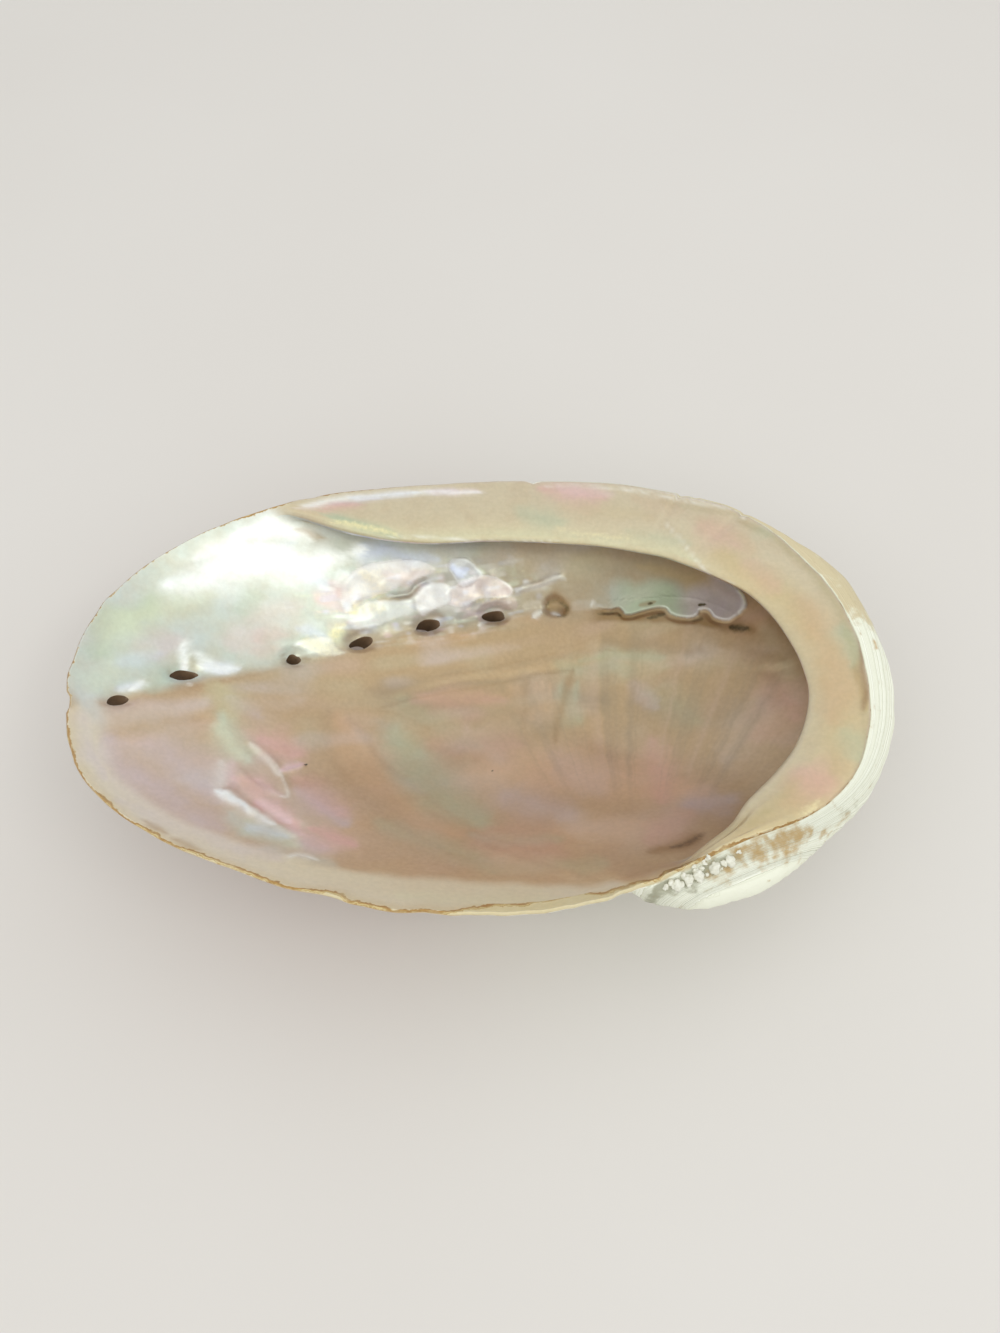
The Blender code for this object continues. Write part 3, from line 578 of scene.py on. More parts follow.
# Drifts of colour in the bowl, on the ledge and on the outside: for each coat, the places along
# the path of every stroke as x, y, x, y and so on, then its half width and its strength
BOWL_ZONES = {
    "rosy": (
        (-33.6, -31.4, -25.8, -35, 1.7, 0.6), (60.3, 4.4, 63.7, -2.1, 6.2, 0.35),
        (56.2, -6.4, 62.5, -2.6, 4.6, 0.23), (35, -5.6, 34, -21.4, 3.3, 0.31),
        (-15.8, 5, -4, 3.2, 3.6, 0.31), (-14.3, -6.2, 5.4, -4.7, 4.1, 0.2),
        (-5.7, -2.8, -10.3, 8, 2.6, 0.16), (-25, 31.1, -15, 32.8, 1.3, 0.5),
        (-38.8, 23.8, -33.6, 26.8, 1.7, 0.4), (-71.7, 5, -66.1, 9, 2.7, 0.3),
        (-51.6, 12.8, -44.8, 16.1, 1.9, 0.3), (38.5, -26.2, 29.3, -33.1, 3.6, 0.27),
        (12.4, -34.4, -2.9, -31.6, 5.1, 0.23), (-47.6, -10, -44, -11.7, -40.9, -12.1, 3.6, 0.56),
        (-49.8, -20.1, -46.8, -22.1, -43.8, -24.4, 2, 0.48),
        (-44.8, -24.9, -40.9, -28, -36.5, -31.5, 1.8, 0.72),
        (-37.2, -32.2, -30.5, -34.5, -25.8, -35.5, 2.2, 0.36),
        (-39.2, -18.5, -34.7, -22.4, -29.3, -26.3, 2.7, 0.35), (-51.1, -8.8, -48.6, -10.7, 1.1, 0.3),
        (-52.5, 10.5, -46.7, 12.3, 1.7, 0.25), (-17.9, 3.7, -5.8, 6, 2.1, 7, 1.7, 0.3),
    ),
    "coral": (
        (-33.4, -2.4, -26.5, -12.5, -19.6, -21.2, -11.5, -28, -7.2, -29.9, 2.9, 0.6),
        (4.6, 9, 10.1, 6.8, 3.3, 0.47), (-63.4, -4.3, -56.9, -5.7, 2.3, 0.3),
        (-3.5, 6.1, 2.1, 2.8, 3.1, 0.27), (22.8, -9, 21.3, 1.8, 3.6, 0.23),
        (-31.5, 20.2, -35.7, 18, 1.5, 0.3), (30.6, 8.7, 29.9, 18.5, 3.1, 0.16),
        (15, 30.3, 22, 27.1, 1.5, 0.2), (-33, -6.4, -29.2, -13.5, -23.5, -19.5, -13, -25.3, 2.9, 0.55),
        (-58.5, -6.8, -55.7, -12.4, 2.3, 0.3), (-21.7, 18.1, -12.7, 19.2, -5, 21.7, 1.3, 0.5),
        (2.1, 24.8, 10.3, 26.1, 1.3, 0.45), (-3.5, 5.7, 7.8, 6.7, 20.3, 3.8, 2.7, 0.5),
        (9, 11, 8.4, 2.3, 0.9, 0.5), (12.5, 11.1, 11.6, 3.1, 0.8, 0.5),
        (-16.9, 4.9, -5.8, 6.7, 3.3, 8, 1.9, 0.5),
    ),
    "green": (
        (-22.7, -29, -15.1, -32.1, -6.9, -35.6, -0.3, -39.4, 2.6, 0.23),
        (15.4, 10.7, 16, 5.9, 19, 1.4, 2.6, 0.31), (14.8, 15.4, 30.4, 14.1, 2.6, 0.27),
        (-78.5, 1.6, -75.6, 9.3, -71.1, 16.1, 3, 0.6), (-55.7, 19.1, -50.5, 21.4, 2.3, 0.45),
        (-68.8, -3.2, -64.1, 6.3, 1.9, 0.3), (44.9, -0.5, 35, 8.3, 4.1, 0.2),
        (-3.4, -6.5, -21.2, 4.3, 2.6, 0.16), (-45.4, -33.4, -37.1, -36.1, 1.5, 0.3),
        (-42.8, 14.9, -36.7, 15.5, 0.9, 0.6),
        (-21.8, -4.6, -17.1, -11.8, -10.3, -20.9, -2.8, -26.6, 4.9, 0.43),
        (-10.4, -34.7, 4.7, -38.6, 19.4, -38.1, 2.5, 0.25), (-4.9, -30.6, 2.9, -32, 12.6, -31.5, 1.7, 0.3),
        (19.5, 16.4, 28.7, 17.4, 37.7, 16.2, 1.3, 0.4), (18.9, 11.7, 17.6, 5.6, 1.1, 0.35),
    ),
    "lilac": (
        (-72.5, -15.5, -69.5, -21.9, -63.8, -26.2, -56.3, -30.7, -49.9, -34.7, 3.2, 0.55),
        (39.2, -23.5, 47.3, -22.3, 3.6, 0.47), (31.6, 11.1, 35.2, 4.5, 2.3, 0.39),
        (2, -18.7, 15, -24.5, 5.1, 0.31), (-35.2, -23.8, -27.8, -29.6, 1.5, 0.6),
        (-17.3, 29.2, -14.6, 27.7, 1.5, 0.5), (-62.3, -17.6, -53.1, -24.4, 4.2, 0.45),
        (21.9, -17.7, 14.1, -8.7, 4.6, 0.2), (-55.1, -2.2, -48.6, -5.7, 1.5, 0.3),
        (-66.6, -29.9, -52.1, -35.8, -37.9, -39.5, 1.9, 0.35), (-76.9, -13.1, -73.6, -21.8, 1.5, 0.3),
        (-75.1, -17.4, -70.4, -25.8, 1.3, 0.45), (-65.9, -16.2, -58.9, -18, -50.8, -26.5, 4.2, 0.35),
        (-38.6, -21.7, -33.3, -24.9, -29.2, -27.1, 2.3, 0.45), (-34.8, -35, -30.1, -36.5, 1.9, 0.5),
    ),
    "straw": (
        (-29.7, 31.3, -26.1, 29.9, -27.8, 27.3, 2.1, 0.6), (-42.2, 14.8, -37.1, 15.7, 1.1, 0.7),
        (-9.4, 27.7, -0.2, 31.2, 1.1, 0.5), (-32.6, 22.6, -26.1, 25.1, 1.7, 0.6),
        (-34.6, 14.4, -42.6, 9.4, 0.9, 0.3), (-33.6, 19.2, -36.7, 16.2, 1.3, 0.5),
        (-9.4, 27.9, -4.8, 29.2, -1.3, 29.9, 0.8, 0.7), (-7.8, 28.8, -3.6, 28.9, 2.1, 30.1, 0.9, 0.5),
        (-32.1, 26.6, -27.8, 28.9, 1.3, 0.5),
    ),
    # Pale green-grey strokes: painted reflected light on the left of the bowl
    "reflected_light": (
        (-77.6, -8.6, -76.1, -16.7, 2.3, 0.7), (-44.6, -33.3, -49.7, -30.3, 2.3, 0.5),
        (-29, -41.5, -41.6, -38, 2.3, 0.4),
    ),
    "blush": (
        (-69, -16.9, -58.3, -20.4, -47.3, -23.2, -30.3, -35.3, 8, 0.8), (-67.5, -9.2, -60.8, -8.7, 3, 0.5),
        (-51, -2.5, -45.3, -15, 4.2, 0.4), (39.6, -21.6, 28, -30.1, 13.1, -25.8, 4.6, 0.45),
        (-16.2, -10.4, -3.2, -17.5, 9.2, -22.9, 4.6, 0.4), (57.5, 2.4, 49.5, -11.6, 4.2, 0.45),
        (-5.7, -1.5, 1, -9, 3.8, 0.3), (-29, -5.7, -15.6, -18.6, 3, 0.4),
        (-77.1, -6.1, -72.5, -0.3, -67.2, 3.1, 2.5, 0.6), (-51.6, 12.8, -45.8, 15.8, 2.7, 0.4),
        (-75.4, -13.2, -70.6, -10.3, -65.3, -7.8, -59, -3.7, 2.7, 0.85), (-54.8, -2.1, -42, 3.3, 1.7, 0.25),
        (5.6, 18.9, -5.9, 16.5, -17.1, 13.4, 1.1, 0.3), (-52.8, -2.9, -41.7, 0.8, 2.3, 0.4),
        (-53.9, 8.9, -49, 10.1, -45.2, 12.3, 2.5, 0.6), (-72.4, -1.2, -67.1, 2.4, 2.5, 0.5),
        (-60.8, 10.5, -56, 12.6, 1.7, 0.25), (-79.5, -10.1, -77.8, -6.3, 1.5, 0.35),
        (-72, -16.1, -65, -13.2, -56.7, -9.6, 2.5, 0.6), (24.1, 18.2, 46.4, 15.6, 61, 14.5, 2.5, 0.35),
    ),
    "celery": (
        (24.1, 16.3, 37.6, 14.2, 3.1, 0.23), (-16.2, -46.5, -4.1, -47.8, 11.3, -46.9, 1.8, 0.2),
        (-76.7, 5.6, -73.2, 11.2, 3.4, 0.4), (-72.5, 12.5, -65.8, 17.5, -60.4, 20, 2.7, 0.35),
        (-36.7, 16.2, -33.6, 18, 1.5, 0.6), (-57.9, 0.2, -55.1, -2.2, -52.8, -7.2, 2.7, 0.35),
        (-57.8, -0.3, -55.7, -3.3, -54.2, -7.5, 2.7, 0.35),
    ),
    # Grey strokes: painted shade, mostly under the tip of the ledge
    "grey_shade": (
        (-42.9, 36.4, -36.7, 35.5, -29.2, 34.8, -19, 34.6, 1.5, 0.8), (-25.1, -1.8, -21.1, -6.3, 2.7, 0.25),
    ),
    # White strokes: mostly painted highlights on plate rims, folds and the edges round the holes; the small
    # pale nub in the closed hole is its own colour
    "white_and_highlight": (
        (-67.3, 19.2, -59.6, 24.2, -51, 28.8, -41.9, 29.9, -34.6, 33.2, 3.3, 0.72),
        (-55.9, 32.7, -49, 35.9, -41.9, 35.8, 2.4, 0.72), (-63.2, 26.4, -54.9, 31.3, 2, 0.6),
        (-32.5, 34.1, -29, 35.2, 1.3, 0.72), (-31.5, 19.4, -28.9, 20.5, -26.8, 21.2, 0.44, 0.72),
        (-61.7, 5, -59.1, 4.2, -56.1, 4.4, 0.8, 0.75), (-71.9, -4.5, -70.5, -2.9, -69.7, -1.7, 0.52, 0.72),
        (-43.6, 13.6, -42, 14.8, 0.48, 0.72), (-4.1, 23.4, -2.3, 24.4, 0.52, 0.6),
        (8.7, 26.3, 10.3, 27.6, 0.7, 0.6), (22.5, 29.1, 23, 30.5, 0.44, 0.5),
        (-73.4, -4.8, -69, -1.9, 0.8, 0.4),
        (4.7, 31.3, 8, 32.3, 11.5, 33.1, 14.1, 34.6, 16.2, 34.5, 0.7, 0.4),
        (-32.6, 20.6, -28.7, 21.9, 0.7, 0.7), (-34.6, 27.6, -32.1, 29.9, 1.5, 0.4),
        (13.6, 27.5, 14.8, 26.8, 0.38, 0.8), (-12.8, 26.4, -5.9, 27.9, 0.8, 0.3),
        (-63.6, 3.5, -64.3, 6.2, -64.4, 8.3, 0.9, 0.85), (-64.4, 7.3, -64.2, 9.5, 1.1, 0.4),
        (-52, -24.4, -49.3, -26.3, -46.2, -27.8, 1.2, 0.78),
        (-46.9, -27.7, -43.6, -29.5, -40.7, -31.4, 1.1, 0.65), (-40.7, -31.4, -36.5, -34.2, 0.9, 0.22),
        (-53.5, -17.3, -52.8, -21.2, -51.9, -24.1, 1.4, 0.24),
        (-44.1, -15.8, -42.1, -19.6, -40.4, -23.3, -41.6, -24.1, 0.3, 0.31),
        (-49.5, -11.9, -46.1, -15.2, -42.8, -18.7, 0.8, 0.3),
        (-37.4, -39.2, -34.7, -38.6, -32, -39.3, 0.46, 0.55),
        (-62.2, 6.6, -60.3, 5.4, -57.3, 4.9, -54.8, 6.2, 1.1, 0.8),
        (-64.7, 8.9, -64.3, 6, -63.9, 3.3, 0.9, 0.9), (-71.4, -4.3, -69.9, -1.5, 0.7, 0.8),
        (-62.8, -0.1, -62, -0.4, 0.38, 0.5), (12.9, 27.4, 13.8, 27.2, 0.42, 0.8),
        (55.3, 29.9, 56.5, 27.8, 56.6, 25.8, 55.5, 24.4, 0.42, 0.55),
    ),
    # Dark brown strokes: specks of dirt and the ring of the closed hole, and painted shadow in the slot
    # under the sheet and in the hollow by the spire
    "dark_and_shadow": (
        (35.5, 29, 36.5, 29.1, 0.42, 0.7), (47, 27.4, 48.5, 27.4, 0.49, 0.8),
        (-38.8, -15, -38.4, -15, 0.42, 0.9), (-0.5, -12.1, -0.5, -12.2, 0.34, 0.9),
        (-17.9, 9.6, -17.7, 9.6, 0.3, 0.8), (32, -35.7, 36.3, -34, 39.8, -32.1, 0.9, 0.5),
        (53.4, 21.8, 55.5, 21.3, 57.5, 20.2, 0.9, 0.35),
        (11.7, 28.9, 13.1, 30, 15.3, 29.9, 16.7, 28.5, 15.9, 27, 14.1, 26.5, 0.8, 0.45),
        (53.2, 21.9, 55, 21.1, 56.9, 20.8, 1, 0.75), (35.2, 25.8, 37.5, 26.1, 39.5, 26.2, 0.7, 0.6),
        (23.9, 27, 26.7, 27.2, 29.2, 26.8, 0.7, 0.5), (45.2, 24.1, 47.9, 24.1, 0.7, 0.45),
    ),
    # Pale blue strokes: blue play of colour, with painted highlights on a plate and by the second hole, and
    # painted blue-grey shade under the ledge
    "azure": (
        (-10, 34.8, -7.7, 33.9, -5.9, 34.5, 1.3, 0.95), (-20.5, 34.6, -12.7, 36.3, 1.5, 0.5),
        (-30.3, 33.9, -23.8, 35.6, 1.7, 0.6), (-42.9, 30.5, -36.8, 26.2, 1.7, 0.4),
        (-60.4, 4.5, -56.2, 4.7, 0.9, 0.6), (-9.3, 33.7, -7.3, 32.8, 0.9, 0.9),
        (-74.3, 0.7, -68.4, 6, 1.9, 0.3), (-49.6, -26.3, -45.9, -28.8, 0.9, 0.25),
        (-44.9, -32.3, -38.4, -34.5, 1.5, 0.3), (-16.1, 29.8, -12.8, 29.4, 1.5, 0.3),
        (-42.9, 17.3, -36.7, 16.2, 1.1, 0.3), (-59.2, 5.3, -54.8, 6, 0.9, 0.45),
        (-74, -4.8, -70.5, -2.9, 0.8, 0.35), (-29.9, 35.5, -24.3, 35.4, -17.2, 35, 1.5, 0.55),
        (-56.8, 27.9, -44.9, 33.3, 1.5, 0.3),
    ),
    "petal": (
        (-39.3, 24.5, -33.6, 22.8, 1.9, 0.45), (-32.5, 27.9, -35.7, 24.4, 1.5, 0.4),
        (-57.2, 11.4, -50.7, 15.1, 2.7, 0.3), (-4.1, 30.8, 1, 31.7, 1.3, 0.4),
        (-33.6, 24.8, -30.4, 27.3, 1.7, 0.5), (-17.2, 32.1, -21.7, 30.6, 1.1, 0.45),
        (-52.7, 16.7, -42.9, 22, 2.7, 0.25), (-42.7, -17.4, -41.1, -16, -39.4, -14.9, 0.9, 0.75),
        (-44.7, -25.1, -41.3, -27.5, -38.3, -30, 1.2, 0.45),
        (-47, -20.5, -43.9, -22.6, -41.4, -23.8, 0.7, 0.35), (-38.3, -31.3, -35, -33.5, 0.9, 0.45),
        (-51.8, -16.9, -50, -22.2, 1.3, 0.35),
    ),
    # Brown strokes: stains round the holes and the closed hole, and painted shadow lines under the low
    # steps, the sheet and by the spire
    "brown_and_shadow": (
        (28.7, -35.9, 33.4, -35, 38.6, -32.7, 1.5, 0.75), (-33.6, 16.7, -30, 19.1, 0.8, 0.25),
        (-32.1, 15.3, -27.1, 15.6, 0.8, 0.35), (-18.2, 20.3, -11.9, 21.4, 0.8, 0.35),
        (-3.2, 23.7, 2.8, 25.1, 0.8, 0.35), (-75.6, -9, -71.2, -7.5, 0.8, 0.25),
        (-65.7, -1.6, -59.7, 0.2, 0.8, 0.25), (-14.4, -2.4, -21, 0.6, -26.2, 0.8, 0.57, 0.2),
        (-13.1, -24.5, 1, -34.2, 18.7, -42.8, 0.9, 0.15), (33.7, 28.8, 37.1, 29.3, 0.57, 0.6),
        (11.7, 28.7, 13.4, 29.8, 15.5, 29.7, 16.9, 28.7, 16.2, 27, 0.9, 0.85),
        (-26.5, 26.2, -22.8, 26.9, -19.9, 27.7, -17.3, 29.6, 0.49, 0.55),
        (-17.2, 33.5, -20.8, 30.3, -22.1, 28.2, 0.42, 0.2),
        (-19.1, 21.6, -16, 23.8, -11.9, 24.7, 0.57, 0.3), (-42.5, 8.7, -45, 9.2, 0.57, 0.3),
        (-57.3, 1.9, -45.5, 8.1, 0.34, 0.2), (50.9, 17.7, 64.6, 11, 1.1, 0.25),
        (11.7, 28.9, 13.9, 28.8, 16, 28.9, 1.1, 0.8), (-63.1, 5.5, -61.9, 3.2, 0.8, 0.35),
        (-42.3, 11.2, -41, 10.5, 0.8, 0.45), (-45.9, 10.8, -45.4, 9.1, 0.47, 0.4),
        (-73.9, -8.5, -72.2, -6.9, 0.34, 0.25), (-66.3, 2.2, -65.8, 1, 0.47, 0.3),
        (53, 22.1, 55.5, 21.5, 57.9, 19.9, 1.3, 0.85), (12.3, 29.7, 14.2, 30.2, 16, 28.7, 1.5, 0.8),
        (12, 28.5, 13.1, 29.8, 15.3, 29.9, 16.7, 28.5, 15.5, 27, 1, 0.95),
        (-43.3, 36.7, -38.3, 35.9, 0.7, 0.5), (-80.8, -8.5, -79.9, -10.2, -78.9, -11.8, 1.2, 0.75),
        (23, 27.3, 26.7, 27.2, 29.5, 27.3, 0.7, 0.8), (33.6, 26.7, 37.1, 27.2, 39.3, 26.5, 0.7, 0.85),
        (45.4, 24.1, 48.3, 24.3, 0.57, 0.75), (52.9, 21.7, 55, 20.9, 57.1, 20.5, 0.9, 0.85),
        (-25.8, 1.6, -16.9, 5.3, -5.8, 8.6, 3.3, 11.1, 11.3, 13.5, 0.38, 0.28),
        (-12.6, 10.8, -1.3, 13.9, 7.9, 16.4, 13.9, 18.2, 0.42, 0.22), (11.3, 13.2, 18, 14.1, 0.38, 0.32),
        (24.1, 18.7, 33.3, 18, 44.7, 16.6, 47.1, 19, 0.38, 0.28),
        (17.8, 14.1, 16.3, 9.3, 14.3, 3.1, 13.5, -3.8, 0.9, 0.42),
        (7.2, 11.9, 6.4, 6.7, 6.1, -0.3, 0.9, 0.32), (-20, 1, -5.8, 4.8, 9, 6.7, 2.5, 0.2),
        (-14.2, -7.5, -1.2, -4.3, 12.2, -1.9, 2.3, 0.1), (25.1, 20.8, 35.6, 18.8, 46.5, 16.8, 1.5, 0.27),
        (-60.6, -34.3, -57.1, -36.4, 0.6, 0.45), (-55.1, -37.5, -50.4, -40, 0.7, 0.45),
    ),
    "warm": (
        (-5.4, -14.3, 9.6, -12, 26.6, -13.8, 42.1, -19.4, 6.5, 0.85), (12.9, -28.7, 28.3, -28.7, 4.2, 0.45),
        (1, -36.4, 13.7, -40.4, 2.7, 0.4), (47.2, 27.6, 59.6, 20.9, 2.7, 0.5),
        (-30.8, -23.2, -24.9, -36, 3.8, 0.25), (10.4, 11.1, 9.8, 1.3, 1.1, 0.6),
    ),
    "deep": (
        (-25.5, 4.9, -10.3, 5.6, 5.5, 6.2, 23.8, 6.7, 4.9, 0.75),
        (32.6, 4.8, 45.1, 0.7, 59.2, 0.7, 4.2, 0.4), (-35.4, -1.8, -30.9, -7.3, 2.7, 0.2),
        (-6.6, 2, 3.2, 3.6, 14.5, 1.4, 2.9, 0.45), (24.2, 19.6, 35.5, 18.6, 47.5, 16.2, 1.7, 0.5),
        (-18.9, 0.6, -5.8, 4, 7.8, 5.3, 3, 0.35),
    ),
    "mint": (
        (-64.8, 4.9, -58.6, 5, 0.9, 0.4), (-77.2, 3.2, -74, 10.5, 3, 0.35),
        (-54.9, -7.7, -52.8, -11.9, -49.3, -15.4, 2.6, 0.64),
        (-45.2, -31.3, -40.3, -33.7, -35.4, -36.1, 1.9, 0.45),
        (-77.8, -6.3, -75.7, -0.9, -70, 5.5, 2.3, 0.5),
    ),
    "sand": (
        (15, 39.8, 33.7, 37.3, 47.3, 33.3, 54.8, 28.8, 1.7, 0.4),
        (21.9, 19.9, 42.1, 16.2, 55.5, 10.9, 1.9, 0.22), (59.9, 20.1, 64.1, 10.7, 64.9, 0.7, 2.3, 0.35),
        (15, 38.2, 24.4, 35.5, 1.5, 0.25),
    ),
    "honey": (
        (33.7, 37.1, 47.3, 32.9, 55.4, 27.6, 1.5, 0.35),
    ),
}
LEDGE_ZONES = {
    # Brown strokes on the ledge: a painted shadow line just inside the lip towards the front, and brown
    # patches at its right end
    "brown_and_shadow": (
        (25.1, -46, 35.6, -41.7, 42.1, -39, 51.5, -34.4, 60.2, -30.9, 64.7, -26.5, 68.9, -20.7, 0.49, 0.75),
        (73.9, 7.4, 72.2, -4.9, 70.7, -9.9, 0.7, 0.7), (64.4, -25.8, 57.5, -33.3, 50.5, -37, 0.57, 0.5),
        (71.7, 1.3, 71.5, -4.4, 71.7, -7.2, 0.9, 0.22),
    ),
    "celery": (
        (-35.8, 35.9, -20.6, 33.1, 9.7, 34.5, 31.3, 32.1, 44, 28.4, 1.5, 0.32),
    ),
    "rosy": (
        (10.4, 47.9, 23.9, 44.5, 2.7, 0.49), (-38.1, 39.4, -29.7, 41.6, 1.1, 0.5),
        (44.9, 37.8, 51.9, 32.2, 3.2, 0.24), (57.2, -23.6, 60.4, -25.8, 4.3, 0.42),
        (53.5, 28.2, 58.8, 20.2, 2.4, 0.21),
    ),
    "coral": (
        (63.6, 17.5, 67.1, 7.3, 67.6, -2.4, 65, -11.7, 3.7, 0.42), (45, 39.2, 55, 31.4, 3.7, 0.32),
        (58.8, -24.7, 53.5, -28.9, 3.7, 0.35), (32.2, 44.7, 40.8, 41.4, 2.4, 0.21),
        (65.2, -20.5, 58.9, -28.9, 2.1, 0.28),
    ),
    "green": (
        (-36.5, 38.1, -27.7, 35.1, -21, 33.3, 1.1, 0.7), (5.4, 40.4, 14.6, 38, 2.7, 0.39),
        (71.7, 10.2, 71.2, 1.8, 2.4, 0.42), (67, -14.6, 68.5, -20.4, 2.4, 0.32),
        (58, 36.6, 59.8, 34.3, 2.1, 0.28), (29.3, 34.9, 42.2, 32.3, 1.6, 0.28),
    ),
    "lilac": (
        (-9, 46.3, -15.6, 45.1, 0.8, 0.6), (-36.1, 40.8, -25.4, 43.6, 0.8, 0.5),
    ),
    "straw": (
        (-35.8, 36.9, -20.6, 33.5, 0.8, 0.6), (14.1, 35.9, 31.4, 33.6, 1.1, 0.35),
        (58, -28.9, 54.6, -32.8, 1.5, 0.4),
    ),
    # Pale green-grey stroke near the tip of the ledge: painted reflected light
    "reflected_light": (
        (-42.6, 40.9, -25.5, 44.5, -5.7, 46.7, 0.8, 1),
    ),
    # White strokes on the ledge: painted highlights along its edges and the lip
    "white_and_highlight": (
        (-42.5, 40.3, -34.1, 42.7, -23.3, 44.3, -12.3, 45.6, -3.5, 45.9, 0.9, 0.6),
        (-24.9, 33.1, -5.5, 32.9, 14, 33.3, 0.3, 0.4),
        (10, 48.5, 23.5, 48.4, 43.4, 44.8, 54, 42.5, 0.42, 0.35),
        (37.1, 39, 44.9, 26, 50.9, 22.3, 0.3, 0.35), (54.5, 40, 54.8, 40.6, 0.3, 0.6),
        (28, 48.6, 41.4, 46.6, 54.4, 42.2, 0.38, 0.25),
    ),
    "honey": (
        (48.3, 29.3, 61.4, 17, 68, 3.5, 67.3, -11.7, 61.2, -24.7, 49.1, -33.3, 35.9, -39.1, 4.6, 0.6),
        (14.3, 42.7, 34.1, 40.4, 1.9, 0.2), (71.6, 9.7, 71.7, 3.5, 71.3, -5.3, 71.5, -9.9, 1.1, 0.95),
    ),
    "olive": (
        (54.4, 39.4, 65.5, 28.8, 71.2, 16.1, 72.4, 4.7, 71.5, -6, 1.5, 0.5),
        (36.7, 44.3, 54.2, 40.9, 0.9, 0.3), (71, -4.9, 70.8, -12.9, 67.8, -22.4, 62.9, -28.5, 1.1, 0.35),
        (73.9, 13.9, 74.6, 7.5, 74, 1.3, 1.1, 0.6), (36, -35.5, 45.6, -33.3, 56.1, -24.7, 1.3, 0.3),
    ),
    "petal": (
        (-14.5, 45.5, -3.5, 46.2, 0.8, 0.5), (-42.5, 39.8, -34, 41.8, 0.8, 0.35),
        (14.4, 47.5, 25.6, 46, 1.9, 0.35),
    ),
    # Blue-white painted highlight along the ledge's tip
    "azure": (
        (-31.9, 43, -16.7, 45.1, 0.7, 0.5),
    ),
}
OUTSIDE_ZONES = {
    "stain": (
        (41.2, -39.5, 49.6, -37.6, 56.9, -34.9, 1.9, 0.64), (35.5, -43.3, 44.7, -40.6, 1.3, 0.48),
        (72.9, -4.9, 72.5, -10.4, 0.7, 0.64), (77.6, 8.6, 77.2, 5.4, 0.46, 0.72),
        (39.1, -41.6, 35.6, -40.7, 0.57, 0.32), (52.5, -37.9, 46.7, -41.6, 1.3, 0.36),
        (58.8, -35.1, 65.3, -30, 0.9, 0.36), (48.5, -39.6, 41, -43.6, 1.1, 0.28),
    ),
    "grime": (
        (26.7, -46.1, 31.9, -44.3, 37, -42.1, 42.6, -39.6, 1.2, 0.9), (35.6, -45.5, 33.9, -46.2, 1.1, 0.5),
        (67.6, -27.6, 62.8, -31, 0.9, 0.3),
    ),
    "honey": (
        (42.1, -39.7, 49.6, -37.6, 56.9, -34.9, 2.3, 0.7), (35.5, -43.7, 44.7, -41.5, 1.9, 0.6),
        (59.2, -35.1, 65.3, -30, 1.1, 0.3),
    ),
}

# Colours that drift over the nacre, laid over each other in this order. The white coat is mostly painted
# highlight, the pale green-grey one painted reflected light and the grey one painted shade. The pale blue
# one is partly painted highlight, and the two browns hold painted shadow lines besides real stains.
COATS = {
    "warm": "D4B193", "deep": "9E856D", "blush": "C6B1A1", "reflected_light": "BFC5BC", "grey_shade": "A3A39A",
    "cream": "D1C1A7", "sand": "CABA9C", "honey": "C3AA7A", "olive": "A8956A", "lilac": "C0AFB6",
    "coral": "C7A17E", "green": "ABB79C", "rosy": "D6A39F", "celery": "CDD0AC", "straw": "E2D6A8",
    "mint": "C9D2BC", "petal": "E3C3C6", "azure": "C5CCE6", "white_and_highlight": "F6F6F2", "grime": "A3A186",
    "brown_and_shadow": "94704A", "dark_and_shadow": "4A3524", "stain": "C2A26C",
}
# Coats that only the chalky outside has
OUTSIDE_ONLY = ("grime", "stain")
# Coats with flaked edges on the nacre
FLAKY = ("straw", "dark_and_shadow")

# Layers that show at the lip, from the nacre outwards: place, colour
LIP_LAYERS = (
    (0.05, "D3C5A4"), (0.12, "BFA272"), (0.19, "96703E"), (0.38, "A47C48"), (0.52, "AE8F5E"),
    (0.64, "D0BA88"), (0.76, "A8834F"), (0.86, "DAC89C"), (0.95, "D2C098"),
)

# Pale band inside the lip: angle, width
BAND = (
    (-180, 0.0), (-174, 0.0), (-170, 3.6), (-166, 5.2), (-161, 5.5), (-156, 6.0), (-152, 6.7),
    (-145, 7.7), (-136, 8.0), (-125, 9.0), (-111, 9.0), (-100, 7.4), (-92, 5.6), (-84, 3.6),
    (-76, 2.0), (-62, 1.0), (-45, 0.0), (150, 0.0), (170, 0.0),
)

# Ochre strip along the lip: angle, width
STRIP = (
    (-180, 0.4), (-173, 0.4), (-171, 0.5), (-169, 0.4), (-162, 0.5), (-158, 0.9), (-155, 0.5),
    (-152, 0.9), (-150, 0.7), (-147.5, 1.0), (-145, 0.7), (-138, 0.9), (-131, 1.0), (-120, 0.9),
    (-112, 1.2), (-98, 1.9), (-86, 2.1), (-78, 1.7), (-66, 0.9), (-45, 0.4), (-30, 0.1),
    (0, 0.1), (60, 0.1), (90, -0.1), (122, 0.1), (134, 0.5), (150, 0.7), (165, 0.65), (176, 0.4),
)

# Middle of the coil, how fast it opens, and the steps in which the age of the shell is found
APEX_X, APEX_Y = 45.5, -29.0
OPENING_RATE = 0.6
AGE_STEP = 0.02
# Growth lines, folds and radiating cords of the outside: how close together, depth in mm
GROWTH_LINES = (120, 0.16)
FOLDS = (26, 0.34)
CORDS = (46, 0.22)
PIT_DEPTH = 0.2
# Where the streaks in the bowl come together
RAYS_X, RAYS_Y = 25.0, -50.0


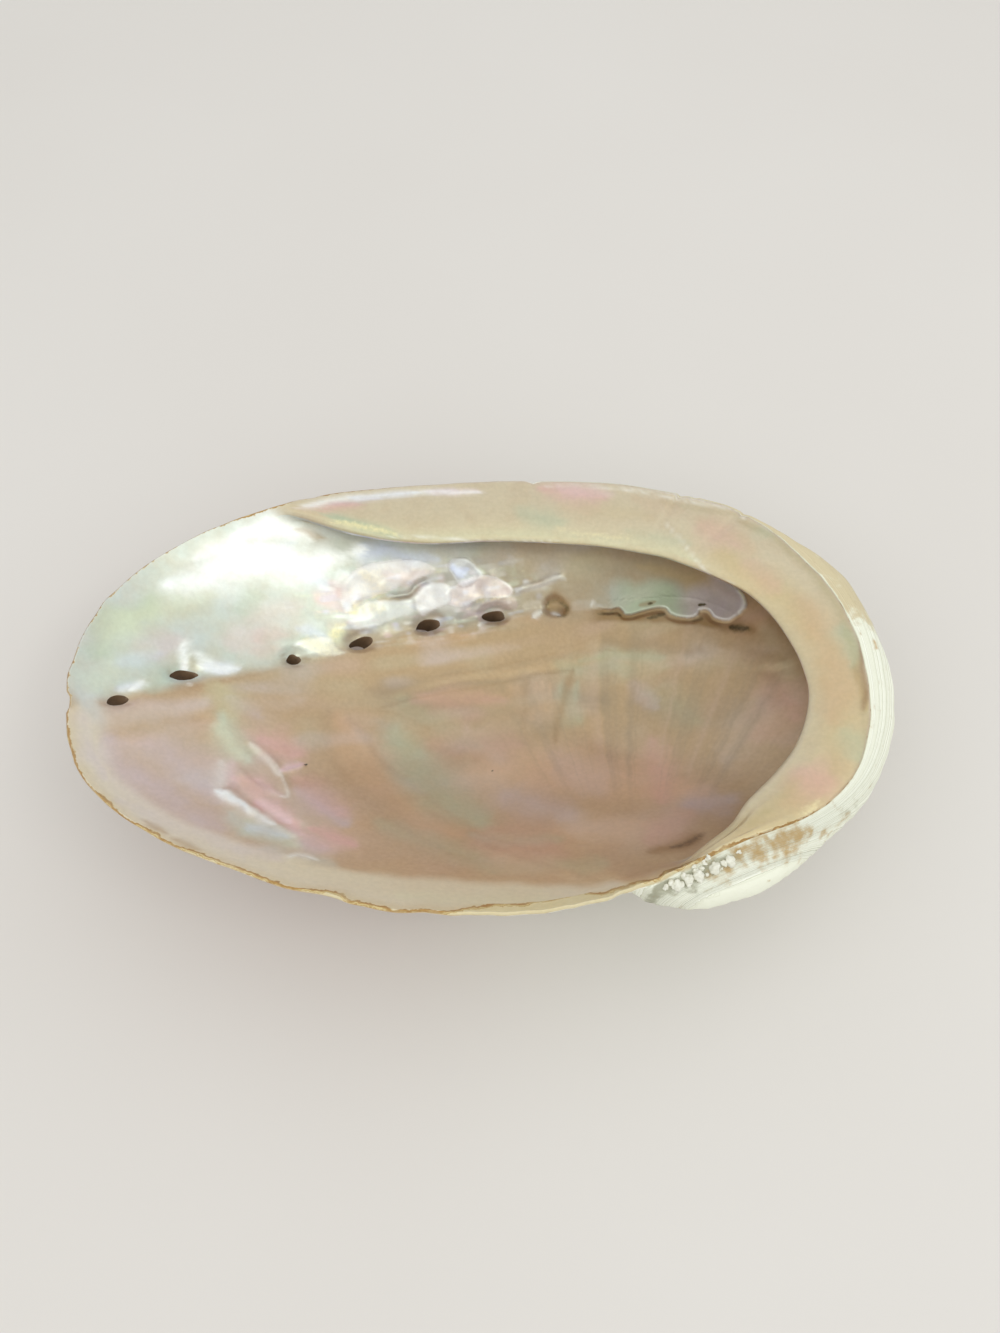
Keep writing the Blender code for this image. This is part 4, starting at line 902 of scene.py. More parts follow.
def growth_lines(x, y, degrees):
    """Age of the shell at each place, 0 at the lip, and the direction that it grew in."""
    rim = around(RIM, degrees)
    lip_x = CENTRE_X + rim * np.cos(np.radians(degrees)) - APEX_X
    lip_y = CENTRE_Y + rim * np.sin(np.radians(degrees)) - APEX_Y
    order = np.argsort(np.arctan2(lip_y, lip_x))
    turn = np.arctan2(lip_y, lip_x)[order]
    reach = np.hypot(lip_x, lip_y)[order]
    angle = np.arctan2(y - APEX_Y, x - APEX_X)
    away = np.hypot(x - APEX_X, y - APEX_Y)
    age = np.full(np.shape(x), 3.0)
    found = np.zeros(np.shape(x), bool)
    last = None
    for step in np.arange(-0.6, 3.0, AGE_STEP):
        lag = step / OPENING_RATE
        at = (angle + max(lag, 0) + math.pi) % (2 * math.pi) - math.pi
        gap = away - math.exp(-step) * np.interp(at, turn, reach, period=2 * math.pi)
        now = (gap >= 0) & ~found
        if last is not None:
            share = np.clip(last / np.where(last - gap == 0, 1, last - gap), 0, 1)
            age = np.where(now, step - AGE_STEP + AGE_STEP * share, age)
        else:
            age = np.where(now, step, age)
        found |= now
        last = gap
    return age, angle + np.maximum(age, 0) / OPENING_RATE


def shell_grid():
    """Points of the shell as rings and sections, the zone of each ring, and what is known there."""
    degrees = even_angles(AROUND)
    s, radius, height, zones = shell_rows(degrees)
    x, y = s.place(radius)
    points = np.stack([x, y, height], axis=2)
    outward = np.cross(
        np.gradient(points, axis=0), np.roll(points, -1, axis=1) - np.roll(points, 1, axis=1)
    )
    outward /= np.maximum(np.linalg.norm(outward, axis=2, keepdims=True), 1e-9)
    everywhere = np.ones(radius.shape)

    outer = zones == OUTSIDE
    age, spoke = growth_lines(x[outer], y[outer], degrees)
    cut = PIT_DEPTH * np.clip(cloud(x[outer], y[outer], 2.2, 24), 0, 1)
    for (pace, depth), along, sway, size, seed in (
        (GROWTH_LINES, age, 1.5, 7, 21), (FOLDS, age, 1.3, 12, 22), (CORDS, spoke, 0.8, 9, 23)
    ):
        bent = along * pace + sway * cloud(x[outer], y[outer], size, seed)
        cut += depth * (0.5 + 0.5 * np.sin(bent))
    worn = smooth(6, 16, np.hypot(x[outer] - CENTRE_X, y[outer] - CENTRE_Y))
    below = (s.rim_z - height)[outer]
    top = 0.35 * smooth(0.3, 3.0, below) + 0.65 * smooth(3.0, 14.0, below)
    rise = np.zeros(radius.shape)
    rise[outer] = -worn * top * cut
    points = points + outward * rise[..., None]
    for x0, y0, length, width, turn in HOLES:
        middle, lean = hole_frame(x0, y0)
        gap = points[outer] - np.array(middle)
        gap -= (gap @ np.array(lean))[..., None] * np.array(lean)
        bore = (length + width) / 4
        lift = TUBE_RISE * smooth(bore + 2.4, bore + 0.4, np.linalg.norm(gap, axis=2))
        points[outer] += lift[..., None] * np.array(lean)

    ring = zones[:, None]
    plain = (ring <= HOLLOW) * smooth(0.6, 3.0, s.rim - 2.0 - radius)
    hooked = smooth(BOWL_RINGS + BEND_AFTER, BOWL_RINGS - 2, np.arange(len(zones)))[:, None]
    known = {
        "soft": part_way(plain, hooked, s.hook),
        "ledge": (ring >= LEDGE_TOP) * (ring <= LIP) * s.shelf,
        "outside": (ring > LIP) * everywhere,
        "hollow": (ring == HOLLOW) * s.hook,
        "streaked": (ring <= HOLLOW) * smooth(1.3, 0.5, within(x, y, 34, 3, 31, 24, 0)),
        "ray": np.arctan2(x - RAYS_X, y - RAYS_Y),
        "age": np.zeros(radius.shape),
        "out_x": outward[..., 0], "out_y": outward[..., 1], "out_z": outward[..., 2],
    }
    known["age"][outer] = age
    uneven = 1.15 + 0.45 * ripple(degrees, 47, 42) + 0.35 * ripple(degrees, 150, 43)
    width = around(STRIP, degrees) * uneven
    known["strip"] = np.where(ring >= LEDGE_TOP, width - (s.rim - s.back - radius), -3.0)
    band = around(BAND, degrees)
    rimward = s.rim - radius + 0.5 * cloud(x, y, 4, 41)
    cream = smooth(band + 1.7, band - 1.1, rimward) * (ring <= LIP)
    known["band"] = cream * smooth(0.3, 1.6, band)
    bare = smooth(12, 5, below) * smooth(3, 15, degrees) * smooth(80, 50, degrees)
    known["band"][outer] = bare
    return points, zones, known


# Crease through the holes
CREASE = (
    (-86, -16), (-79, -12), (-73.8, -6.5), (-62.9, -0.1), (-54, 5.2), (-42.5, 10.2), (-28.6, 15.6),
    (-15, 20.9), (-0.2, 24.1), (13.8, 26.7), (33.6, 26.2), (56.6, 22.3),
)

# Parts of the bowl with fine detail: x, y, half length, half width, turn
FINE = (
    (-16, 26, 29, 10.5, 16), (42, 27, 17, 5.5, -4), (-43, -22, 14, 8.5, -50),
    (-67, -1, 12, 5.5, 28),
)


def add_detail(mesh):
    """Relief and colour drifts, worked out at every corner of the mesh."""
    count = len(mesh.vertices)
    known = {}
    for layer in mesh.attributes:
        if layer.data_type == "FLOAT" and layer.domain == "POINT":
            known[layer.name] = np.zeros(count, np.float32)
            layer.data.foreach_get("value", known[layer.name])
    spots = np.zeros(count * 3, np.float32)
    mesh.vertices.foreach_get("co", spots)
    spots = spots.reshape(-1, 3).astype(float) / MM
    x, y = spots[:, 0].copy(), spots[:, 1].copy()
    inner = known["soft"] > 0
    outward = np.stack([known.pop("out_x"), known.pop("out_y"), known.pop("out_z")], 1)
    rise = np.zeros(count)
    rise[inner] = bowl_relief(x[inner], y[inner]) * known["soft"][inner]
    spots += outward * rise[:, None]
    mesh.vertices.foreach_set("co", (spots * MM).ravel())

    bend_x = 0.9 * cloud(x, y, 5, 31) + 0.5 * cloud(x, y, 2, 32) + 0.25 * cloud(x, y, 0.9, 35)
    bend_y = 0.9 * cloud(x, y, 5, 33) + 0.5 * cloud(x, y, 2, 34) + 0.25 * cloud(x, y, 0.9, 36)
    outside, ledge = known.pop("outside"), known.pop("ledge")

    def lay_on(name, amount):
        """A coat is as strong as the strongest thing that lays it on."""
        known[name] = np.maximum(known[name], amount)

    for name in COATS:
        known[name] = np.zeros(count)
        for table, share in ((BOWL_ZONES, 1 - outside - ledge), (LEDGE_ZONES, ledge),
                             (OUTSIDE_ZONES, outside)):
            for *path, half, strength in table.get(name, ()):
                loose = min(1.0, half / 2.2)
                field = drift(np.reshape(path, (-1, 2)), x + loose * bend_x, y + loose * bend_y, half)
                lay_on(name, share * strength * field)
    known["cream"] = known.pop("band")
    lay_on("sand", ledge)
    near_lip = smooth(-1.7, 0.2, known["strip"]) * smooth(0, -12, y)
    lay_on("honey", 0.3 * near_lip * (1 - outside))
    open_bowl = (1 - outside) * (1 - ledge)
    for (outline, height, dome), tints in zip(PLATES, TINTS):
        deep = inward(outline, x + 0.25 * bend_x, y + 0.25 * bend_y)
        for name, strength in tints:
            lay_on(name, open_bowl * strength * smooth(-0.4, 0.5, deep))
        # The higher plates have a painted highlight along their rim
        rim_highlight = 0.42 * np.exp(-(((deep - 0.25) / 0.3) ** 2)) * (height > 0.46)
        lay_on("white_and_highlight", open_bowl * rim_highlight)
    # The sheet is green, then lilac, with a pale edge partly painted as a highlight, and a brown slot below
    # painted as the shadow under the sheet
    away, share = beside(curve(SHEET, 260), x, y)
    sheet = open_bowl * smooth(-0.15, 0.2, away) * smooth(7.5, 4.0, away) * smooth(0.0, 0.15, share)
    lay_on("green", 0.85 * sheet * smooth(26, 33, x) * smooth(46, 40, x))
    lay_on("lilac", 0.65 * sheet * smooth(39, 46, x))
    pale = open_bowl * np.exp(-(((away - 0.3) / 0.25) ** 2)) * smooth(0.25, 0.4, share)
    pale *= 0.35 + 0.65 * smooth(0.0, 0.6, cloud(x, y, 4.0, 38)) + 0.6 * smooth(0.84, 0.93, share)
    lay_on("white_and_highlight", 0.28 * pale)
    lay_on("straw", 0.8 * pale * smooth(0.8, 0.9, share))
    # Painted shadow under the sheet's edge: brown in the slot, darker just below the edge
    slot = open_bowl * slot_under_sheet(x, y, away, share)
    lay_on("brown_and_shadow", 0.95 * slot)
    lay_on("dark_and_shadow", 0.3 * slot * smooth(-2.2, -0.4, away))
    # A pale wash of painted reflected light over the sheet
    lay_on("reflected_light", 0.8 * sheet)
    # Finer play of colour, drawn out along the coil: strong on the plates, faint on the rest. The white
    # flecks on the plates are painted glints, and the faint pink, blue and green towards the back wall are
    # painted sheen
    u, v = (0.97 * x + 0.23 * y) / 2.2, 0.97 * y - 0.23 * x
    crumpled = open_bowl * smooth(1.3, 0.7, within(x, y, -17, 27, 28, 8, 12))
    upper = open_bowl * smooth(-10, 10, y - 0.33 * x)
    for number, name in enumerate(("straw", "petal", "azure", "mint", "white_and_highlight")):
        fleck = smooth(0.25, 0.95, cloud(u, v, 1.1, 51 + number))
        sheen = smooth(0.1, 1.0, cloud(u, v, 4.5, 61 + number))
        lay_on(name, 0.4 * crumpled * fleck)
        if name in ("petal", "azure", "mint"):
            lay_on(name, (0.03 + 0.11 * upper) * open_bowl * sheen)
    # Behind the crease that runs through the holes the wall is painted pale green-grey, as painted
    # reflected light
    behind = y - np.interp(x, [spot[0] for spot in CREASE], [spot[1] for spot in CREASE])
    behind += 0.4 * bend_y
    far = part_way(smooth(-1.0, 7.0, behind), smooth(-1.8, 2.2, behind), smooth(-30, -44, x))
    lay_on("reflected_light", open_bowl * 0.92 * far * smooth(-4, -20, x))
    # Painted shade on the wall behind the crease, under the ledge, stronger towards its left end
    under_ledge_shade = smooth(-20, -6, x) * smooth(58, 36, x) * part_way(0.85, 0.4, smooth(-10, 12, x))
    lay_on("grey_shade", open_bowl * under_ledge_shade * smooth(-3.0, 4.0, behind))
    # Painted light: the hollow under the ledge is laid pale to lift its shade
    lay_on("reflected_light", 0.8 * known.pop("hollow"))
    del known["soft"]
    return known



def linear(code):
    """sRGB hex colour as linear red, green, blue and alpha."""
    parts = [int(code[i:i + 2], 16) / 255 for i in (0, 2, 4)]
    return tuple(c / 12.92 if c <= 0.04045 else ((c + 0.055) / 1.055) ** 2.4 for c in parts) + (1,)


def feed(tree, node, inputs):
    """Gives a node its inputs; each is a value or the output that feeds it."""
    for name, value in inputs.items():
        if isinstance(value, bpy.types.NodeSocket):
            tree.links.new(value, node.inputs[name])
        else:
            node.inputs[name].default_value = value


def add(tree, kind, settings, inputs):
    """Adds a node with its settings and inputs."""
    node = tree.nodes.new(kind)
    for name, value in settings.items():
        setattr(node, name, value)
    feed(tree, node, inputs)
    return node


def place_in(tree):
    """Place on the object, for noise that stays with it."""
    return add(tree, "ShaderNodeTexCoord", {}, {}).outputs["Object"]


def mark(tree, name):
    """Value that the mesh carries under that name."""
    return add(tree, "ShaderNodeAttribute", {"attribute_name": name}, {}).outputs["Fac"]


def noise(tree, place, scale, detail):
    """Cloudy noise; a larger scale makes smaller patches."""
    return add(tree, "ShaderNodeTexNoise", {}, {
        "Vector": place, "Scale": scale, "Detail": detail}).outputs["Fac"]


def noise_along(tree, value, scale, detail):
    """Noise that changes with one value alone, such as the age of the shell."""
    return add(tree, "ShaderNodeTexNoise", {"noise_dimensions": "1D"}, {
        "W": value, "Scale": scale, "Detail": detail}).outputs["Fac"]


def maths(tree, operation, *values):
    """One step of arithmetic on values or outputs."""
    return add(tree, "ShaderNodeMath", {"operation": operation}, dict(enumerate(values))).outputs[0]


def spread(tree, value, low, high, least=0.0, most=1.0, shape="LINEAR"):
    """The stretch of a value from low to high, as least to most."""
    return add(tree, "ShaderNodeMapRange", {"interpolation_type": shape}, {
        "Value": value, "From Min": low, "From Max": high, "To Min": least,
        "To Max": most}).outputs["Result"]


def lay(tree, share, under, over):
    """One colour laid over another."""
    return add(tree, "ShaderNodeMix", {"data_type": "RGBA"}, {
        0: share, 6: under, 7: over}).outputs[2]


def colours_along(tree, value, stops):
    """Colours that follow a value, from (position, colour) stops in order."""
    node = add(tree, "ShaderNodeValToRGB", {}, {"Fac": value})
    elements = node.color_ramp.elements
    for element, (position, code) in zip(tuple(elements), (stops[0], stops[-1])):
        element.position, element.color = position, linear(code)
    for position, code in stops[1:-1]:
        elements.new(position).color = linear(code)
    return node.outputs["Color"]


def new_material(name):
    """New material with its node tree and its shader."""
    material = bpy.data.materials.new(name)
    material.use_nodes = True
    tree = material.node_tree
    return material, tree, tree.nodes["Principled BSDF"]


def mottled(name, scale, dark, light, roughness):
    """Matt material, mottled between two colours."""
    material, tree, surface = new_material(name)
    speck = noise(tree, place_in(tree), scale, 3.0)
    feed(tree, surface, {
        "Base Color": lay(tree, speck, linear(dark), linear(light)), "Roughness": roughness})
    return material


def nacre():
    """Nacre laid down in sheets: a silky gloss with soft drifts of pink, green and lilac."""
    material, tree, surface = new_material("nacre")
    place = place_in(tree)
    slow = noise(tree, place, 260.0, 4.0)
    fine = noise(tree, place, 1100.0, 3.0)
    uneven = spread(tree, slow, 0.3, 0.7, 0.82, 1.15)
    colour = lay(tree, fine, linear("B49674"), linear("B99C7C"))
    for name, code in COATS.items():
        if name in OUTSIDE_ONLY:
            continue
        mask = mark(tree, name)
        if name in FLAKY:
            torn = maths(tree, "MULTIPLY_ADD", fine, 0.5, mask)
            share = spread(tree, torn, 0.4, 1.05, shape="SMOOTHSTEP")
        else:
            share = add(tree, "ShaderNodeMath", {"operation": "MULTIPLY", "use_clamp": True}, {
                0: mask, 1: 1.0 if name == "cream" else uneven}).outputs[0]
        colour = lay(tree, share, colour, linear(code))
    # Streaks that fan out from the spire, about 1 mm apart
    bent_ray = maths(tree, "MULTIPLY_ADD", slow, 0.035, mark(tree, "ray"))
    fan = noise_along(tree, bent_ray, 13.0, 3.0)
    streaked = mark(tree, "streaked")
    for low, high, strength, code in ((0.50, 0.80, 0.6, "958370"), (0.48, 0.15, 0.5, "CDAF9C")):
        streak = maths(tree, "MULTIPLY", spread(tree, fan, low, high, most=strength), streaked)
        colour = lay(tree, streak, colour, linear(code))
    # Layers that show edge-on along the lip: cream, a broken ochre line, cream
    ragged = noise(tree, place, 800.0, 4.0)
    torn = maths(tree, "MULTIPLY_ADD", ragged, 1.5, mark(tree, "strip"))
    edge = spread(tree, torn, 0.65, 1.0, shape="SMOOTHSTEP")
    ochre = colours_along(tree, spread(tree, torn, 0.7, 1.9), LIP_LAYERS)
    # The ochre is worn away in places
    rubbed = spread(tree, slow, 0.48, 0.68, most=0.3, shape="SMOOTHSTEP")
    lip = lay(tree, rubbed, ochre, linear("D6C7A4"))
    colour = lay(tree, edge, colour, lip)
    mottle = spread(tree, fine, 0.3, 0.7, 0.95, 1.03)
    colour = add(tree, "ShaderNodeVectorMath", {"operation": "SCALE"}, {
        0: colour, "Scale": mottle}).outputs["Vector"]
    bump = add(tree, "ShaderNodeBump", {}, {"Height": slow, "Strength": 0.12, "Distance": 0.0006})
    feed(tree, surface, {
        "Base Color": colour, "Roughness": spread(tree, edge, 0.0, 1.0, 0.32, 0.7),
        "Normal": bump.outputs["Normal"], "IOR": 1.6, "Metallic": 0.22,
        "Subsurface Weight": 0.5, "Subsurface Radius": (1.0, 0.85, 0.7), "Subsurface Scale": 0.007,
        "Coat Weight": 0.25, "Coat Roughness": 0.24, "Coat IOR": 1.5,
        "Thin Film Thickness": 380.0, "Thin Film IOR": 1.45})
    return material


def chalk():
    """Weathered outer shell: dry chalky crust over ochre and brick growth bands."""
    material, tree, surface = new_material("chalky_shell")
    place, age = place_in(tree), mark(tree, "age")
    blotch = noise(tree, place, 140.0, 5.0)
    flakes = noise(tree, place, 480.0, 5.0)
    banded = colours_along(tree, noise_along(tree, age, 26.0, 5.0), (
        (0.32, "7E4536"), (0.46, "A2634A"), (0.56, "B98A62"), (0.68, "CBB79A")))
    apart = add(tree, "ShaderNodeSeparateXYZ", {}, {"Vector": place})
    crusted = maths(tree, "MULTIPLY_ADD", blotch, 0.075, apart.outputs["X"])
    crust = spread(tree, crusted, 0.012, 0.05, shape="SMOOTHSTEP")
    # Fine growth lines in the chalk, about 0.6 mm apart
    rings = noise_along(tree, age, 110.0, 3.0)
    white = colours_along(tree, rings, ((0.30, "C6C8AF"), (0.45, "E4E5CE"), (0.60, "F8F9EA")))
    colour = lay(tree, crust, banded, white)
    # Bare cream shell near the lip and ochre patches where the chalk has flaked off
    for name in ("cream", "honey") + OUTSIDE_ONLY:
        flaked = maths(tree, "MULTIPLY_ADD", rings, 1.1, mark(tree, name))
        flaked = maths(tree, "MULTIPLY_ADD", flakes, 1.5, flaked)
        bare = spread(tree, flaked, 1.55, 2.1, most=0.85, shape="SMOOTHSTEP")
        code = "C9B88E" if name == "cream" else COATS[name]
        colour = lay(tree, bare, colour, linear(code))
    bump = add(tree, "ShaderNodeBump", {}, {
        "Height": maths(tree, "ADD", flakes, rings), "Strength": 0.6, "Distance": 0.0005})
    feed(tree, surface, {
        "Base Color": colour, "Normal": bump.outputs["Normal"], "Roughness": 0.82})
    return material


def mesh_of(name, points, faces):
    """Mesh from points in metres and faces."""
    mesh = bpy.data.meshes.new(name)
    mesh.from_pydata(points, [], faces)
    mesh.update()
    return mesh


def put(name, data):
    """Object with that data, linked into the scene."""
    thing = bpy.data.objects.new(name, data)
    bpy.context.scene.collection.objects.link(thing)
    return thing


def evaluated_mesh(thing, name):
    """Mesh of an object with its modifiers applied."""
    depsgraph = bpy.context.evaluated_depsgraph_get()
    mesh = bpy.data.meshes.new_from_object(thing.evaluated_get(depsgraph))
    mesh.name = name
    return mesh


def set_mark(mesh, name, values):
    """Gives the corners of a mesh one value each, under that name."""
    layer = mesh.attributes.new(name, "FLOAT", "POINT")
    layer.data.foreach_set("value", np.asarray(values, np.float32))


def closed_grid_faces(rings, first, last):
    """Faces between neighbouring rings, with a fan over each end."""
    i = np.arange(AROUND)
    j = (i + 1) % AROUND
    faces = []
    for k in range(rings - 1):
        a, b = k * AROUND, (k + 1) * AROUND
        faces += np.stack([a + i, b + i, b + j, a + j], 1).tolist()
    end = (rings - 1) * AROUND
    faces += np.stack([np.full(AROUND, first), i, j], 1).tolist()
    faces += np.stack([np.full(AROUND, last), end + j, end + i], 1).tolist()
    return faces


def bowl_frame(x, y):
    """Point on the inside of the bowl and the direction out of the bowl there, in mm."""
    def height(px, py):
        degrees = math.degrees(math.atan2(py - CENTRE_Y, px - CENTRE_X))
        radius = np.array([math.hypot(px - CENTRE_X, py - CENTRE_Y)])
        return float(Section(np.array([degrees])).bowl(radius)[0])

    slope_x = (height(x + 2, y) - height(x - 2, y)) / 4
    slope_y = (height(x, y + 2) - height(x, y - 2)) / 4
    return Vector((x, y, height(x, y))), Vector((slope_x, slope_y, -1)).normalized()


def hole_frame(x, y):
    """Mouth of a hole and the way it runs outwards, leaning towards the old front."""
    middle, out = bowl_frame(x, y)
    return middle, (out + Vector((-0.44, -0.56, 0.0))).normalized()


def hole_cutter(materials):
    """Uneven oval plugs that cut the holes through the wall; the last material is theirs."""
    mesh = bmesh.new()
    angle = np.linspace(0, 360, HOLE_SIDES, endpoint=False)
    for number, (x, y, length, width, turn) in enumerate(HOLES):
        point, out = bowl_frame(x, y)
        c, s = math.cos(math.radians(turn)), math.sin(math.radians(turn))
        side = Vector((c, s, 0))
        side = (side - out * side.dot(out)).normalized()
        across = out.cross(side)
        lean = hole_frame(x, y)[1]
        uneven = 1 + 0.10 * ripple(angle, 7, 50 + number) + 0.05 * ripple(angle, 13, 60 + number)
        rings = []
        for along, flare in ((-9.0, 1.25), (0.2, 1.04), (1.2, 0.96), (2.4, 1.0), (12.0, 1.1)):
            ring = []
            for k in range(HOLE_SIDES):
                a = math.radians(angle[k])
                u = length / 2 * flare * uneven[k] * math.cos(a)
                v = width / 2 * flare * uneven[k] * math.sin(a)
                ring.append(mesh.verts.new((point + lean * along + side * u + across * v) * MM))
            rings.append(ring)
        for low, high in zip(rings[:-1], rings[1:]):
            for k in range(HOLE_SIDES):
                j = (k + 1) % HOLE_SIDES
                mesh.faces.new((low[k], low[j], high[j], high[k]))
        mesh.faces.new(rings[0])
        mesh.faces.new(rings[-1])
    bmesh.ops.recalc_face_normals(mesh, faces=mesh.faces)
    for face in mesh.faces:
        face.material_index = len(materials) - 1
    data = bpy.data.meshes.new("hole_cutter")
    mesh.to_mesh(data)
    mesh.free()
    for each in materials:
        data.materials.append(each)
    return put("hole_cutter", data)


def split_fine(mesh, fine):
    """Splits each marked face in four; the values at the corners are shared out."""
    grid = bmesh.new()
    grid.from_mesh(mesh)
    grid.faces.ensure_lookup_table()
    edges = dict.fromkeys(e for number in np.flatnonzero(fine) for e in grid.faces[number].edges)
    bmesh.ops.subdivide_edges(grid, edges=list(edges), cuts=1, use_grid_fill=True)
    grid.to_mesh(mesh)
    grid.free()


def make_shell():
    """The shell as one closed mesh: finer relief and marks first, then the holes cut through."""
    points, zones, known = shell_grid()
    crown = np.array([[CENTRE_X, CENTRE_Y, points[0, :, 2].mean()], [CENTRE_X, CENTRE_Y, 0.0]])
    spots = np.concatenate([points.reshape(-1, 3), crown]) * MM
    faces = closed_grid_faces(len(zones), len(spots) - 2, len(spots) - 1)
    mesh = mesh_of("shell_nacre", spots.tolist(), faces)
    # The hole walls are painted dark brown, partly their own stained colour and partly the shade inside the
    # holes
    materials = (nacre(), chalk(), mottled("hole_stain_and_shade", 700.0, "54422F", "7E6346", 0.6))
    for each in materials:
        mesh.materials.append(each)
    row = np.concatenate([np.repeat(zones[1:] >= OUTSIDE, AROUND), np.zeros(AROUND, bool),
                          np.ones(AROUND, bool)])
    mesh.polygons.foreach_set("material_index", row.astype(np.int32))
    for name, field in known.items():
        set_mark(mesh, name, np.append(field.ravel(), [field[0].mean(), field[-1].mean()]))
    middle = (points[:-1, :, :2] + points[1:, :, :2]) / 2
    fine = np.zeros(middle.shape[:2], bool)
    for region in FINE:
        fine |= within(middle[..., 0], middle[..., 1], *region) < 1
    fine &= (zones[1:] <= BOWL)[:, None]
    split_fine(mesh, fine.ravel())
    marks = add_detail(mesh)
    plain = put("shell_plain", mesh)
    cutter = hole_cutter(materials)
    cut = plain.modifiers.new("holes", "BOOLEAN")
    cut.operation, cut.solver, cut.object = "DIFFERENCE", "EXACT", cutter
    done = evaluated_mesh(plain, "shell_nacre")
    # Every corner takes the marks of the nearest corner that there was before the holes
    tree = kdtree.KDTree(len(mesh.vertices))
    for vertex in mesh.vertices:
        tree.insert(vertex.co, vertex.index)
    tree.balance()
    near = [tree.find(vertex.co)[1] for vertex in done.vertices]
    for name in [layer.name for layer in done.attributes if layer.name in known]:
        done.attributes.remove(done.attributes[name])
    for name, values in marks.items():
        set_mark(done, name, values[near])
    for helper in (plain, cutter):
        bpy.data.objects.remove(helper, do_unlink=True)
    done.shade_smooth()
    done.set_sharp_from_angle(angle=math.radians(SHARP_ANGLE))
    return put("shell_nacre", done)


# Lumps of lime grit caught in the seam by the spire: x, y, half size
GRIT = (
    (41.4, -40.6, 0.8), (38.3, -42.0, 0.95), (35.3, -43.5, 1.0), (33.5, -44.1, 0.9),
    (31.6, -45.2, 0.85), (34.9, -42.5, 0.5), (37.2, -40.4, 0.5), (36.5, -41.2, 0.4),
    (30.2, -44.8, 0.5), (31.0, -45.7, 0.45), (32.5, -43.3, 0.45), (36.0, -42.2, 0.45),
    (40.1, -41.1, 0.45), (29.4, -45.6, 0.5), (33.8, -45.3, 0.5), (43.0, -39.0, 0.4),
    (34.4, -41.7, 0.35), (39.6, -42.0, 0.35), (37.0, -43.0, 0.4), (32.4, -44.6, 0.35),
)
# Height in mm from which the surface under a lump is looked for
GRIT_FROM = 40.5
# How far the noise pushes the skin of a lump, in metres
GRIT_ROUGHNESS = 0.0019


def grit_tree(material):
    """Geometry nodes that set an uneven lump on each point, sunk a little into the shell."""
    tree = bpy.data.node_groups.new("lime_grit", "GeometryNodeTree")
    for name, way, kind in (("Geometry", "INPUT", "Geometry"), ("Lump size", "INPUT", "Float"),
                            ("Roughness", "INPUT", "Float"), ("Geometry", "OUTPUT", "Geometry")):
        tree.interface.new_socket(name, in_out=way, socket_type="NodeSocket" + kind)
    given = add(tree, "NodeGroupInput", {}, {})
    size = add(tree, "GeometryNodeInputNamedAttribute", {"data_type": "FLOAT"}, {"Name": "size"})
    scale = maths(tree, "MULTIPLY", size.outputs["Attribute"], given.outputs["Lump size"])
    lump = add(tree, "GeometryNodeMeshIcoSphere", {}, {"Radius": 1.0, "Subdivisions": 3})
    turn = add(tree, "FunctionNodeRandomValue", {"data_type": "FLOAT_VECTOR"}, {
        0: (0.0, 0.0, 0.0), 1: (6.28, 6.28, 6.28), "Seed": 7})
    placed = add(tree, "GeometryNodeInstanceOnPoints", {}, {
        "Points": given.outputs["Geometry"], "Instance": lump.outputs["Mesh"],
        "Rotation": turn.outputs[0], "Scale": scale})
    real = add(tree, "GeometryNodeRealizeInstances", {}, {"Geometry": placed.outputs["Instances"]})
    where = add(tree, "GeometryNodeInputPosition", {}, {})
    facing = add(tree, "GeometryNodeInputNormal", {}, {})
    broken = noise(tree, where.outputs["Position"], 1300.0, 3.0)
    lift = maths(tree, "SUBTRACT", broken, 0.5)
    push = maths(tree, "MULTIPLY", lift, given.outputs["Roughness"])
    offset = add(tree, "ShaderNodeVectorMath", {"operation": "SCALE"}, {
        0: facing.outputs["Normal"], "Scale": push})
    moved = add(tree, "GeometryNodeSetPosition", {}, {
        "Geometry": real.outputs["Geometry"], "Offset": offset.outputs["Vector"]})
    coated = add(tree, "GeometryNodeSetMaterial", {}, {
        "Geometry": moved.outputs["Geometry"], "Material": material})
    add(tree, "NodeGroupOutput", {}, {"Geometry": coated.outputs["Geometry"]})
    return tree


def make_grit(shell):
    """Grit as one piece, each lump resting in the surface of the shell."""
    surface = BVHTree.FromPolygons(
        [vertex.co for vertex in shell.data.vertices],
        [face.vertices for face in shell.data.polygons])
    spots = []
    for x, y, half in GRIT:
        hit = surface.find_nearest(Vector((x, y, GRIT_FROM)) * MM)[0]
        spots.append(hit + Vector((0, 0, 0.15 * half * MM)))
    mesh = mesh_of("grit_points", spots, [])
    set_mark(mesh, "size", [half * MM for x, y, half in GRIT])
    points = put("grit_points", mesh)
    # Grains of lime, dull and white with greyer hollows
    tree = grit_tree(mottled("lime_grit", 1500.0, "C3BFA6", "F8F8EC", 0.7))
    grown = points.modifiers.new("lumps", "NODES")
    grown.node_group = tree
    named = {item.name: item.identifier for item in tree.interface.items_tree
             if item.item_type == "SOCKET" and item.in_out == "INPUT"}
    grown[named["Lump size"]] = 1.0
    grown[named["Roughness"]] = GRIT_ROUGHNESS
    done = evaluated_mesh(points, "lime_grit")
    bpy.data.objects.remove(points, do_unlink=True)
    done.shade_smooth()
    return put("lime_grit", done)


